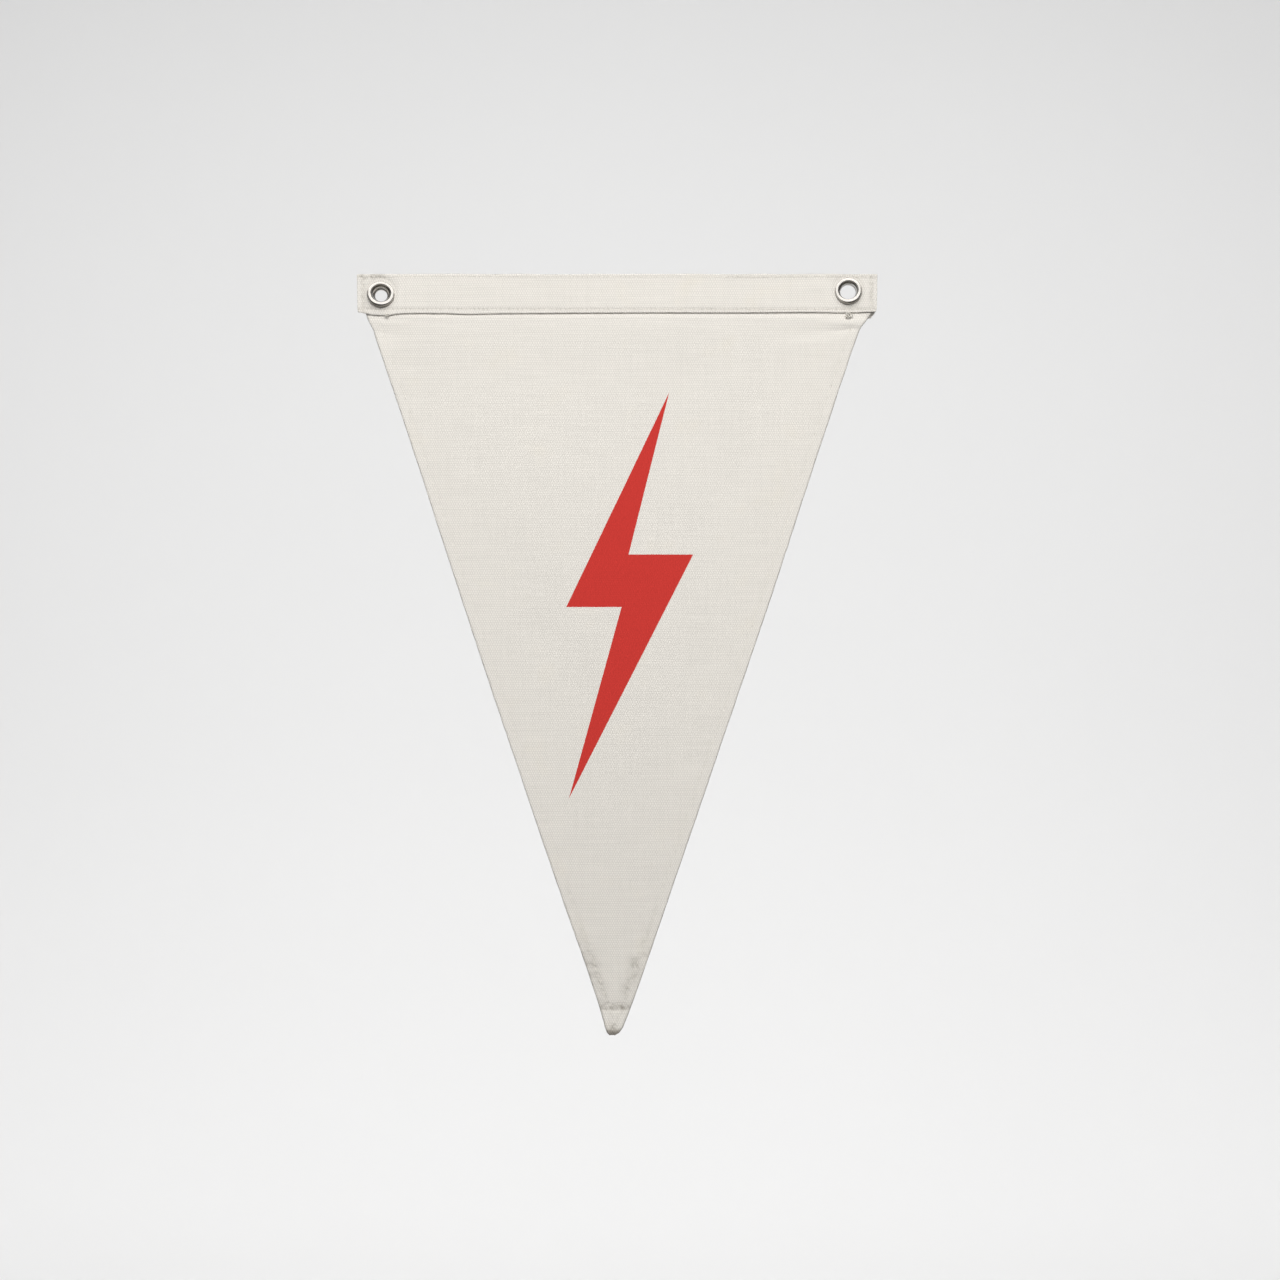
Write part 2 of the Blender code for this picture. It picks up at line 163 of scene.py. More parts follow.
def turnedPiece(name, radii, heights, centre, slant, share, steps, tarnishAndShade):
    # A ring: a closed section of radius and forward height, turned round an axis that is square
    # to a slanting plane. The plane comes forward by slant for each millimetre right and up, and
    # each point of the section takes its own share of that slant.
    turns = np.linspace(0.0, 2.0 * math.pi, steps, endpoint=False)[:, None]
    a = slant[0] * np.atleast_1d(share)
    b = slant[1] * np.atleast_1d(share)
    right = np.stack((1.0 + 0.0 * a, -a, 0.0 * a), axis=1) / np.hypot(1.0, a)[:, None]
    back = np.stack((a, 1.0 + 0.0 * a, b), axis=1) / np.sqrt(1.0 + a * a + b * b)[:, None]
    up = np.cross(right, back)
    across = (radii * np.cos(turns))[:, :, None] * right
    rise = (radii * np.sin(turns))[:, :, None] * up
    points = np.array(centre) + across + rise - (heights + 0.0 * turns)[:, :, None] * back
    index = np.arange(points.shape[0] * points.shape[1]).reshape(points.shape[:2])
    nextTurn = np.roll(index, -1, axis=0)
    quads = np.stack((index, nextTurn, np.roll(nextTurn, -1, axis=1), np.roll(index, -1, axis=1)), axis=2)
    # Each point's darkening, tarnish and painted shade alike, is kept for the nickel.
    tarnishAndShadeAmounts = np.broadcast_to(tarnishAndShade, points.shape[:2]).ravel()
    return quadMesh(name, points.reshape(-1, 3), quads.reshape(-1, 4), {"tarnishAndShade": tarnishAndShadeAmounts})


def closedCurve(places, count):
    # A smooth closed curve through a few places, by Catmull and Rom's rule on each span.
    places = np.asarray(places, float)
    at = np.arange(count) * len(places) / count
    index = np.floor(at).astype(int)
    part = (at - index)[:, None]
    before, start, end, after = [places[(index + k) % len(places)] for k in (-1, 0, 1, 2)]
    bend = 2.0 * before - 5.0 * start + 4.0 * end - after
    twist = 3.0 * start - before - 3.0 * end + after
    return start + 0.5 * part * (end - before + part * (bend + part * twist))


def tubes(starts, ends, outwards, radius, lift, sink, rings=8):
    # Short threads, one for each start and end: a six-sided tube that rises by lift over its
    # middle and sinks at both ends, where it also narrows.
    part = np.linspace(0.0, 1.0, rings)
    arch = np.sin(math.pi * part) ** 0.5
    run = ends - starts
    along = run / np.linalg.norm(run, axis=1, keepdims=True)
    across = np.cross(along, outwards)
    across = across / np.linalg.norm(across, axis=1, keepdims=True)
    up = np.cross(across, along)
    height = (lift + sink) * arch - sink
    middle = starts[:, None] + part[:, None] * run[:, None] + height[:, None] * up[:, None]
    girth = radius * (0.45 + 0.55 * arch)
    turns = np.arange(6) * 2.0 * math.pi / 6
    ring = np.cos(turns)[:, None] * across[:, None, None] + np.sin(turns)[:, None] * up[:, None, None]
    points = middle[:, :, None] + girth[:, None, None] * ring
    index = np.arange(points[..., 0].size).reshape(points.shape[:3])
    beside = np.roll(index, -1, axis=2)
    walls = np.stack((index[:, :-1], beside[:, :-1], beside[:, 1:], index[:, 1:]), axis=3)
    first = index[:, 0]
    last = index[:, -1]
    caps = [first[:, [0, 3, 2, 1]], first[:, [0, 5, 4, 3]], last[:, [0, 1, 2, 3]], last[:, [0, 3, 4, 5]]]
    quads = np.concatenate([walls.reshape(-1, 4)] + caps)
    return points.reshape(-1, 3), quads[:, ::-1]


# Shader maths

class Wire:
    # One output of a node. Operators on it add Math nodes to its material.
    def __init__(self, finish, socket):
        self.finish = finish
        self.socket = socket

    def math(self, operation, *values):
        return self.finish.add("ShaderNodeMath", {"operation": operation}, dict(enumerate(values)))

    def __add__(self, other):
        return self.math("ADD", self, other)

    def __radd__(self, other):
        return self.math("ADD", other, self)

    def __sub__(self, other):
        return self.math("SUBTRACT", self, other)

    def __rsub__(self, other):
        return self.math("SUBTRACT", other, self)

    def __mul__(self, other):
        return self.math("MULTIPLY", self, other)

    def __rmul__(self, other):
        return self.math("MULTIPLY", other, self)

    def cosine(self):
        return self.math("COSINE", self)

    def least(self, other):
        return self.math("MINIMUM", self, other)

    def most(self, other):
        return self.math("MAXIMUM", self, other)

    def smooth(self, start, end):
        # 0 below start and 1 above end, eased between.
        settings = {"interpolation_type": "SMOOTHSTEP"}
        inputs = {"Value": self, "From Min": start, "From Max": end}
        return self.finish.add("ShaderNodeMapRange", settings, inputs)


class Finish:
    # A material and the nodes behind its shader.
    def __init__(self, name, **constants):
        self.material = bpy.data.materials.new(name)
        self.material.use_nodes = True
        self.tree = self.material.node_tree
        self.shader = self.tree.nodes["Principled BSDF"]
        for label, value in constants.items():
            self.shader.inputs[label.replace("_", " ")].default_value = value

    def add(self, kind, settings=None, inputs=None, output=0):
        # A node of any kind: its settings first, then its sockets. Returns one of its outputs.
        node = self.tree.nodes.new(kind)
        for label, value in (settings or {}).items():
            setattr(node, label, value)
        for label, value in (inputs or {}).items():
            self.feed(node.inputs[label], value)
        return Wire(self, node.outputs[output])

    def feed(self, socket, value):
        if isinstance(value, Wire):
            self.tree.links.new(value.socket, socket)
        else:
            socket.default_value = value

    def split(self, vector):
        # The three numbers of a vector.
        parts = self.add("ShaderNodeSeparateXYZ", None, {0: vector}).socket.node
        return [Wire(self, output) for output in parts.outputs]

    def noise(self, place, scale, detail):
        # Noise from 0 to 1, with scale cells to the unit of place.
        return self.add("ShaderNodeTexNoise", None, {"Vector": place, "Scale": scale, "Detail": detail})

    def stretch(self, place, factors):
        # The place with each of its numbers multiplied.
        return self.add("ShaderNodeVectorMath", {"operation": "MULTIPLY"}, {0: place, 1: factors})

    def mix(self, factor, first, second):
        # First colour where factor is 0, and second where it is 1.
        settings = {"data_type": "RGBA"}
        return self.add("ShaderNodeMix", settings, {0: factor, 6: first, 7: second}, output=2)

    def shade(self, colour, factor):
        # A colour times a number.
        return self.add("ShaderNodeVectorMath", {"operation": "SCALE"}, {0: colour, "Scale": factor})

    def bump(self, height, distance):
        return self.add("ShaderNodeBump", None, {"Height": height, "Distance": distance})

    def finishWith(self, **links):
        # Feeds the shader's sockets and returns the finished material.
        for label, value in links.items():
            self.feed(self.shader.inputs[label.replace("_", " ")], value)
        return self.material


# Header strip

headerSizes = {
    "width": 305.1,
    "endTaper": 0.35,  # each end leans in this much by the foot
    "taperDrop": 23.0,
    "cornerInset": {-1: 0.5, 1: 1.5},  # how much the left and right corners are rounded off
    "cornerStart": 20.4,
    "cornerEnd": 24.2,
    "endBand": 3.4,
    "thickness": 1.0,
    "layerGap": 0.6,
    "tuckStart": 18.2,
    "tuckFull": 20.4,
    "tuckDepth": 1.08,
    "bulgeFull": 22.0,
    "bulgeDepth": 1.3,
    "bulgeInner": 139.5,
    "bulgeEase": 6.0,
    "bulgeOuter": 149.2,
    "bulgeAtEnd": 0.35,
    "edgeRound": 0.45,
    "footSeam": 20.9,
    "topSeam": 1.95,
    "endSeam": 149.0,
    "stitch": 2.52,
    "columns": 420,
    "frontRows": 44,
    "foldRows": 11,
    "backRows": 40,
}

# The lower edges of the header's two layers: x, drop of the front one, drop of the back one
headerFoot = {
    "x": (-152.6, -150.6, -147.0, -143.0, -138.0, -134.0, -131.0, -127.0, -121.0, -108.0, -98.0,
          -88.0, -80.0, -70.0, -52.0, -34.0, 0.0, 40.0, 84.0, 118.0, 136.0, 146.0, 150.0, 152.6),
    "front": (22.7, 22.9, 23.7, 24.2, 24.5, 24.5, 23.9, 23.5, 23.3, 23.35, 23.55,
              23.95, 23.8, 23.5, 23.3, 23.1, 23.0, 22.95, 22.8, 22.75, 22.9, 22.6, 22.4, 22.3),
    "back": (21.8, 22.0, 22.6, 23.0, 23.3, 23.4, 23.4, 23.5, 23.6, 23.8, 23.9,
             24.0, 24.1, 24.2, 24.1, 24.0, 24.0, 24.1, 24.3, 24.9, 25.4, 25.7, 25.3, 23.6),
}

# Slow waves along the header, the same as the solid's: x, spread, height forward
headerWaves = (
    (-84.0, 16.0, 0.5),
    (-32.0, 18.0, -0.4),
    (24.0, 16.0, 0.4),
    (74.0, 14.0, -0.5),
    (110.0, 8.0, 0.4),
)

# Soft dents and swells of its front layer: x, drop, spread along, spread down, height forward
headerDents = (
    (118.0, 7.0, 4.0, 3.4, 0.30),
    (111.0, 16.5, 6.0, 3.0, -0.26),
    (-146.0, 2.4, 3.2, 0.9, -0.16),
    (-138.5, 1.6, 2.0, 0.8, -0.14),
    (-118.0, 8.0, 7.0, 4.0, 0.12),
    (124.0, 18.6, 5.0, 1.6, -0.16),
    (-60.0, 12.0, 18.0, 5.0, 0.10),
    (8.0, 9.0, 16.0, 5.0, -0.10),
    (56.0, 14.0, 14.0, 4.0, 0.10),
    (148.0, 16.0, 3.0, 4.0, 0.12),
)

# How much each eyelet comes forward for each millimetre to the right and up, how much of that
# slant the cloth under it and the washer behind it take up, and how much lower it sits than its
# solid
eyeletSlants = {"left": (-0.12, -0.30), "right": (0.13, -0.22)}
clothFollows = 0.25
washerFollows = 0.45
eyeletSinks = {"left": 0.95, "right": 0.55}

# The hole cut for each eyelet, its middle a little lower than the eyelet's own
eyeletHole = {"radius": 5.7, "lower": 0.3, "reach": 8.0, "sides": 72}

insideCloth = 9.0  # a distance from the cut edge at which no edge is rounded

eyelets = {side: boxMiddle("eyelet_" + side) for side in ("left", "right")}
for side, sink in eyeletSinks.items():
    eyelets[side][2] -= sink


def headerWave(x):
    # How far the slow waves bring the header forward.
    return sum(height * hump(x, place, spread) for place, spread, height in headerWaves)


def headerFrontY(x):
    # Where the header's front face lies before its dents and the eyelets' lean.
    return -headerSizes["thickness"] - 0.5 * headerSizes["layerGap"] - headerWave(x)


def eyeletLean(x, drop):
    # How far the header leans forward round each eyelet, which holds it at its own slant.
    total = 0.0
    for side, centre in eyelets.items():
        right = x - centre[0]
        up = -centre[2] - drop
        above = smoothStep(-4.0, 6.0, up)
        held = 1.0 - smoothStep(8.2 + 0.4 * above, 11.5 + 1.5 * above, np.hypot(right, up))
        total += held * (eyeletSlants[side][0] * right + eyeletSlants[side][1] * up)
    return clothFollows * total


def headerBackY(x, drop):
    # Where the header's back face lies: it stands back over the tucked cloth and the tucked hems.
    s = headerSizes
    inside = smoothStep(s["bulgeInner"] - s["bulgeEase"], s["bulgeInner"], np.abs(x))
    outside = smoothStep(s["bulgeOuter"], 0.5 * s["width"], np.abs(x))
    bulge = s["bulgeDepth"] * inside * (1.0 - (1.0 - s["bulgeAtEnd"]) * outside)
    tuck = s["tuckDepth"] * smoothStep(s["tuckStart"], s["tuckFull"], drop)
    stand = tuck + bulge * smoothStep(s["tuckStart"], s["bulgeFull"], drop)
    return s["thickness"] + 0.5 * s["layerGap"] + stand - headerWave(x)


def seamGroove(across, along, pitch, width, depth):
    # A sewn line pulls the cloth in by depth, deepest at each needle hole.
    holes = 0.5 + 0.5 * np.cos(2.0 * math.pi * along / pitch)
    return -depth * np.exp(-((across / width) ** 2)) * (0.5 + 0.5 * holes**2)


def eyeletPress(x, drop):
    # The flange presses the cloth down under itself. Round it the cloth swells, inside a fine
    # crease that shows most above the eyelet.
    total = 0.0
    for centre in eyelets.values():
        distance = np.hypot(x - centre[0], drop + centre[2])
        above = smoothStep(-5.0, 5.0, -centre[2] - drop)
        total -= 0.30 * (1.0 - smoothStep(7.1, 8.2, distance))
        total += 0.16 * hump(distance, 8.5, 0.5)
        total -= (0.05 + 0.22 * above) * hump(distance, 9.3, 0.28)
        total += 0.08 * hump(distance, 10.6, 0.8)
    return total


def headerRelief(x, drop):
    # How far the header's front face stands forward of its plain place.
    s = headerSizes
    total = eyeletPress(x, drop)
    for place, middle, along, down, height in headerDents:
        total += height * hump(x, place, along) * hump(drop, middle, down)
    total += seamGroove(drop - s["footSeam"], x + s["endSeam"], s["stitch"], 0.85, 0.34)
    tight = 0.75 + 0.25 * softNoise(x, 0.0 * x, (16.0, 9.0), 8)
    total += tight * seamGroove(drop - s["topSeam"], x + s["endSeam"], s["stitch"], 0.62, 0.24)
    sewn = riseAndFall(1.2, 2.2, 20.6, 21.4, drop)
    for side in (-1.0, 1.0):
        fromSeam = x - side * s["endSeam"]
        total += sewn * seamGroove(fromSeam, drop - s["topSeam"], s["stitch"], 0.85, 0.26)
        total += 0.05 * sewn * hump(fromSeam, 0.0, 1.8) * softNoise(x, drop, (1.3, 1.8), 9)
    foot = smoothCurve(x, headerFoot["x"], headerFoot["front"])
    welt = smoothStep(s["footSeam"] + 0.2, s["footSeam"] + 1.1, drop) * smoothStep(0.0, 0.9, foot - drop)
    total += 0.10 * welt
    total += 0.05 * softNoise(x, drop, (9.0, 6.0), 3)
    total += 0.025 * softNoise(x, drop, (3.2, 2.4), 4)
    return total + 0.02 * softNoise(x, drop, (1.6, 30.0), 5) * hump(drop, s["footSeam"] + 0.8, 1.4)


def headerBackRelief(x, drop):
    # How far the header's back face stands out from its plain place.
    s = headerSizes
    total = eyeletPress(x, drop) + seamGroove(drop - s["footSeam"], x + s["endSeam"], s["stitch"], 0.62, 0.16)
    total += seamGroove(drop - s["topSeam"], x + s["endSeam"], s["stitch"], 0.5, 0.10)
    return total + 0.06 * softNoise(x, drop, (10.0, 7.0), 6) + 0.02 * softNoise(x, drop, (3.0, 2.2), 7)


def edgeRound(distance, radius):
    # Keeps all the thickness a radius away from a cut edge, and narrows it to a tenth at the edge.
    part = np.clip(distance / radius, 0.0, 1.0)
    return 0.1 + 0.9 * np.sqrt(1.0 - (1.0 - part) ** 2)


def edgeSteps(count, length, radius):
    # Distances from an edge: five short steps round it, then even ones.
    near = radius * np.array((0.0, 0.08, 0.25, 0.55, 1.0))
    return np.concatenate((near, np.linspace(radius, length, count - 4)[1:]))


def headerStations():
    # Places along the header, close together where its ends are rounded.
    s = headerSizes
    half = 0.5 * s["width"]
    end = edgeSteps(8, 1.6, s["edgeRound"]) - half
    middle = np.linspace(end[-1], -end[-1], s["columns"] - 2 * len(end) + 2)[1:-1]
    return np.concatenate((end, middle, -end[::-1]))


def headerSoilAndShade(x, drop):
    # Grey marks and painted shade: painted shade along the sewn grooves, darkest at the needle holes,
    # mottled darkening along the top seam at its left end and right half, painted shade in the fine crease
    # round each eyelet, and a dark spot at the left end's foot.
    s = headerSizes
    mottle = 0.5 + 0.5 * softNoise(x, drop, (1.5, 0.9), 51)
    holes = (0.5 + 0.5 * np.cos(2.0 * math.pi * (x + s["endSeam"]) / s["stitch"])) ** 2
    dotted = 0.14 + 0.50 * holes * mottle
    # Painted shade in the sewn grooves along the foot, the top and up each end, darkest at the needle holes.
    total = dotted * (0.9 * hump(drop, s["footSeam"], 0.7) + 0.6 * hump(drop, s["topSeam"], 0.55))
    for side in (-1.0, 1.0):
        total += 0.55 * mottle * hump(x, side * s["endSeam"], 0.9)
    total += 0.8 * mottle * hump(drop, 1.9, 0.8) * riseAndFall(-152.0, -149.5, -138.0, -133.0, x)
    total += 0.22 * mottle * hump(drop, 2.0, 0.8) * smoothStep(60.0, 66.0, x)
    # Painted shade in the fine crease round each eyelet.
    for centre in eyelets.values():
        total += 0.22 * hump(np.hypot(x - centre[0], drop + centre[2]), 9.3, 0.35)
    return np.clip(total + 0.8 * hump(x, -146.6, 0.5) * hump(drop, 23.6, 0.5), 0.0, 1.0)


def makeHeader(cloth):
    # One strip up the front, over the top in a half circle and down the back: the centre line of
    # each section, with half the thickness laid off to both sides along the normal.
    s = headerSizes
    stations = headerStations()
    half = 0.5 * s["thickness"]
    bend = 0.5 * (s["layerGap"] + s["thickness"])
    foldDrop = bend + half
    frontFoot = smoothCurve(stations, headerFoot["x"], headerFoot["front"])
    backFoot = smoothCurve(stations, headerFoot["x"], headerFoot["back"])
    steps = edgeSteps(s["frontRows"], 1.0, s["edgeRound"] / 22.0)[:, None]
    frontDrops = frontFoot - steps * (frontFoot - foldDrop)
    frontEdge = frontFoot - frontDrops
    turns = np.linspace(0.0, math.pi, s["foldRows"] + 2)[1:-1, None]
    foldDrops = foldDrop - bend * np.sin(turns) + 0.0 * stations
    backSteps = edgeSteps(s["backRows"], 1.0, s["edgeRound"] / 22.0)[::-1, None]
    backDrops = backFoot - backSteps * (backFoot - foldDrop)
    backEdge = backFoot - backDrops
    drops = np.concatenate((frontDrops, foldDrops, backDrops))
    fromFoot = np.concatenate((frontEdge, np.full_like(foldDrops, insideCloth), backEdge))
    lean = s["endTaper"] * np.abs(stations) / (0.5 * s["width"]) * drops / s["taperDrop"]
    last = smoothStep(0.5 * s["width"] - s["endBand"], 0.5 * s["width"], np.abs(stations))
    rounding = np.where(stations < 0.0, s["cornerInset"][-1], s["cornerInset"][1])
    corner = rounding * last * smoothStep(s["cornerStart"], s["cornerEnd"], drops)
    ragged = 0.10 * softNoise(drops, np.sign(stations) * 7.0, (5.0, 3.0), 11) * last
    x = stations - np.sign(stations) * (lean + corner + ragged)
    frontY = headerFrontY(x[: len(frontDrops)]) + half
    foldY = -bend * np.cos(turns) - headerWave(x[len(frontDrops) : len(frontDrops) + len(foldDrops)])
    backY = headerBackY(x[-len(backDrops) :], backDrops) - half
    centre = np.stack((x, np.concatenate((frontY, foldY, backY)) - eyeletLean(x, drops), -drops), axis=2)
    normals = gridNormals(centre)
    fromEnd = 0.5 * s["width"] - np.abs(stations)
    keep = edgeRound(fromFoot, s["edgeRound"]) * edgeRound(fromEnd, s["edgeRound"])
    isFront = (np.arange(len(drops)) < len(frontDrops) + len(foldDrops) // 2)[:, None]
    relief = np.where(isFront, headerRelief(x, drops), headerBackRelief(x, drops))
    relief = relief * smoothStep(0.4, 1.6, drops)
    outer = centre + (half * keep + relief * np.minimum(keep, 1.0))[:, :, None] * normals
    inner = centre - (half * keep)[:, :, None] * normals
    outer[:, :, 2] += 0.22 * softNoise(x, 0.0 * x, (14.0, 9.0), 12) * (1.0 - smoothStep(0.0, 1.6, drops))
    length = np.cumsum(np.linalg.norm(np.diff(centre, axis=0, prepend=centre[:1]), axis=2), axis=0)
    flat = np.stack((x, length - 0.5 * length[-1:], np.where(isFront, 0.5, 0.0) + 0.0 * x), axis=2)
    header = sheetPiece("headerStrip", outer, inner, flat, headerSoilAndShade(x, drops))
    cutEyeletHoles(header)
    header.data.materials.append(cloth)
    return header


def makePunch(centre):
    # A plain cylinder through both layers of the header, along Y.
    hole = eyeletHole
    sides = hole["sides"]
    points = []
    for y in (-hole["reach"], hole["reach"]):
        for turn in np.arange(sides) * 2.0 * math.pi / sides:
            x = centre[0] + hole["radius"] * math.cos(turn)
            z = centre[2] + hole["radius"] * math.sin(turn) - hole["lower"]
            points.append((x * mm, y * mm, z * mm))
    walls = [(i, sides + i, sides + (i + 1) % sides, (i + 1) % sides) for i in range(sides)]
    lids = [tuple(range(sides)), tuple(range(sides, 2 * sides))[::-1]]
    mesh = bpy.data.meshes.new("punch")
    mesh.from_pydata(points, [], walls + lids)
    mesh.update()
    punch = bpy.data.objects.new("punch", mesh)
    bpy.context.scene.collection.objects.link(punch)
    return punch


def cutEyeletHoles(header):
    # Cuts a round hole for each eyelet and keeps the cut mesh, with no modifier left on it.
    for centre in eyelets.values():
        punch = makePunch(centre)
        cut = header.modifiers.new("hole", "BOOLEAN")
        cut.operation = "DIFFERENCE"
        cut.solver = "EXACT"
        cut.object = punch
        graph = bpy.context.evaluated_depsgraph_get()
        holed = bpy.data.meshes.new_from_object(
            header.evaluated_get(graph), preserve_all_data_layers=True, depsgraph=graph,
        )
        header.modifiers.clear()
        header.data = holed
        holed.name = header.name
        bpy.data.objects.remove(punch)


# Pennant cloth

pennantSizes = {
    "top": 20.6,
    "foot": 446.4,
    "thickness": 1.0,
    "layerGap": 0.3,
    "hem": 6.0,
    "hemSeam": 5.2,
    "hemStitch": 3.8,
    "hemTrim": 1.9,
    "belly": 1.6,
    "shoulder": 0.6,  # how far it comes forward just under the header
    "looseStart": 24.5,
    "looseFull": 28.5,
    "crease": 432.7,
    "creaseSpan": 1.3,
    "tipStep": 0.32,
    "tipLean": 0.07,  # below the crease it comes forward by this for each millimetre
    "tipHollow": 0.5,
    "tipHollowDrop": 430.6,
    "tipHollowSpread": 2.2,
    "tipRoundStart": 441.8,
    "tipRoundEnd": 446.9,
    "tipSeam": 428.4,
    "tipStitch": 2.6,
    "sewnStart": 26.5,  # where the hem seams start and end
    "sewnEnd": 427.5,
    "edgeRound": 0.45,
    "edgeLean": math.radians(18.6),
    "mainColumns": 44,
    "hemColumns": 11,
    "flapColumns": 9,
    "edgeColumns": 8,
}

# Its two folded edges: drop, x of the left one, x of the right one
pennantOutline = {
    "drop": (19.0, 24.0, 28.0, 33.0, 40.0, 60.0, 103.0, 192.0,
             280.0, 368.0, 420.0, 432.0, 438.0, 443.0, 445.2, 446.4),
    "left": (-148.2, -146.7, -145.2, -143.3, -141.0, -134.2, -119.9, -90.9,
             -61.6, -31.7, -13.7, -9.9, -8.2, -6.8, -5.8, -4.6),
    "right": (150.2, 147.4, 144.9, 142.3, 139.6, 132.9, 118.6, 89.5,
              59.6, 29.7, 11.7, 7.4, 5.1, 2.7, 0.8, -1.2),
}

# Creases and soft folds: x, drop, half length, half width, height forward, tilt in degrees
pennantFolds = (
    (136.0, 29.8, 11.0, 2.6, 0.9, 3.0),
    (120.0, 33.6, 17.0, 3.2, -0.8, 5.0),
    (-133.0, 35.2, 8.0, 3.0, -0.5, -4.0),
    (-62.0, 118.0, 48.0, 24.0, 0.8, -68.0),
    (62.0, 128.0, 52.0, 22.0, -0.7, 70.0),
    (96.0, 104.0, 34.0, 9.0, 0.5, 66.0),
    (-38.0, 236.0, 56.0, 16.0, -0.6, -72.0),
    (14.0, 312.0, 60.0, 18.0, 0.6, 84.0),
)

# Finer creases of its front face alone, in the same columns
fineCreases = (
    (134.0, 32.7, 6.5, 0.95, -0.42, 3.0),
    (135.0, 28.4, 9.0, 1.30, 0.22, 3.0),
    (130.0, 25.2, 8.0, 0.90, -0.28, -1.0),
    (131.5, 30.7, 5.0, 0.50, -0.20, -4.0),
    (118.0, 29.4, 9.0, 1.60, -0.22, 6.0),
    (126.0, 38.5, 12.0, 2.20, 0.20, 9.0),
    (-140.5, 33.6, 4.0, 0.90, -0.26, -8.0),
    (-137.5, 28.6, 5.0, 1.20, 0.22, -5.0),
    (-128.0, 27.0, 7.0, 1.10, -0.16, 2.0),
    (-96.0, 29.0, 14.0, 1.60, -0.12, 2.0),
    (22.0, 27.4, 26.0, 1.30, -0.10, 0.0),
)

# Bands of rows: the drop where each ends, and its rows
pennantBands = (
    (27.0, 16), (46.0, 42), (130.0, 96), (400.0, 262), (426.0, 30), (434.0, 26), (443.2, 20), (446.4, 12),
)


def leftEdge(drop):
    # The x of the left folded edge.
    return smoothCurve(drop, pennantOutline["drop"], pennantOutline["left"])


def rightEdge(drop):
    # The x of the right folded edge.
    return smoothCurve(drop, pennantOutline["drop"], pennantOutline["right"])


def tipPart(x, drop):
    # 0 above the tip's crease and 1 below it. The crease bows a little.
    s = pennantSizes
    crease = s["crease"] + 0.25 * np.cos(0.5 * (x + 1.2))
    return smoothStep(crease - 0.5 * s["creaseSpan"], crease + 0.5 * s["creaseSpan"], drop)


def ridges(table, x, drop):
    # The sum of long bells, each turned by its tilt.
    total = 0.0
    for middleX, middleDrop, halfLength, halfWidth, height, tilt in table:
        turn = math.radians(tilt)
        right = x - middleX
        up = middleDrop - drop
        along = (right * math.cos(turn) + up * math.sin(turn)) / halfLength
        across = (up * math.cos(turn) - right * math.sin(turn)) / halfWidth
        total += height * np.exp(-0.5 * (along**2 + across**2))
    return total


def pennantForward(x, drop):
    # How far the pennant stands forward of its place in the header: the header's waves dying
    # out, a shoulder under the header, then the folds, a slow belly, the hollow over the tip's
    # crease and the tip's own step.
    s = pennantSizes
    loose = smoothStep(s["looseStart"], s["looseFull"], drop)
    folds = ridges(pennantFolds, x, drop)
    below = np.clip((drop - s["looseStart"]) / (s["foot"] - s["looseStart"]), 0.0, 1.0)
    belly = s["belly"] * np.sin(math.pi * below) ** 2
    wave = headerWave(x) * (1.0 - smoothStep(27.0, 75.0, drop))
    hollow = s["tipHollow"] * hump(drop, s["tipHollowDrop"], s["tipHollowSpread"])
    tip = tipPart(x, drop) * (s["tipStep"] + s["tipLean"] * np.clip(drop - s["crease"], 0.0, 9.0))
    between = riseAndFall(-134.0, -120.0, 138.0, 146.0, x)
    shoulder = s["shoulder"] * between * riseAndFall(23.4, 26.0, 30.0, 60.0, drop)
    return wave + shoulder + loose * (folds + belly) - hollow + tip


def pennantFrontY(x, drop):
    # Where the pennant's front face lies before its fine relief.
    return -pennantForward(x, drop)


def hemDistances(x, drop):
    # Square distance from each folded edge, measured into the cloth.
    lean = math.cos(pennantSizes["edgeLean"])
    return (x - leftEdge(drop)) * lean, (rightEdge(drop) - x) * lean


def pennantRelief(x, drop):
    # Fine relief of the front face: sewn lines, the hems' puffed bands, ripples and unevenness.
    s = pennantSizes
    along = (drop - s["top"]) / math.cos(s["edgeLean"])
    sewn = riseAndFall(24.0, 27.0, 428.0, 431.0, drop)
    total = ridges(fineCreases, x, drop) * smoothStep(23.6, 24.6, drop)
    total += 0.06 * softNoise(x, drop, (22.0, 16.0), 21)
    total += 0.030 * softNoise(x, drop, (7.0, 5.0), 22)
    total += 0.010 * softNoise(x, drop, (2.6, 2.2), 23)
    for number, distance in enumerate(hemDistances(x, drop)):
        total += sewn * seamGroove(distance - s["hemSeam"], along, s["hemStitch"], 0.75, 0.15)
        puff = riseAndFall(0.4, 2.2, 3.6, 5.2, distance)
        lumps = 1.0 + 0.8 * softNoise(along, 0.0 * along, (3.8, 9.0), 24 + number)
        total += 0.07 * sewn * puff * lumps
        ripple = softNoise(along, 0.25 * distance, (3.4, 3.0), 26 + number)
        total += 0.05 * sewn * ripple * riseAndFall(2.0, 5.0, 6.5, 13.0, distance)
    total += 0.14 * hump(drop, 412.0, 11.0) * softNoise(x, drop, (4.2, 5.2), 28)
    left, right = hemDistances(x, drop)
    across = smoothStep(3.5, 5.0, left) * smoothStep(3.5, 5.0, right)
    total += across * seamGroove(drop - s["tipSeam"], x, s["tipStitch"], 0.8, 0.16)
    total += 0.05 * softNoise(x, drop, (2.8, 2.4), 29) * smoothStep(433.0, 436.0, drop)
    return total * smoothStep(23.0, 25.5, drop)


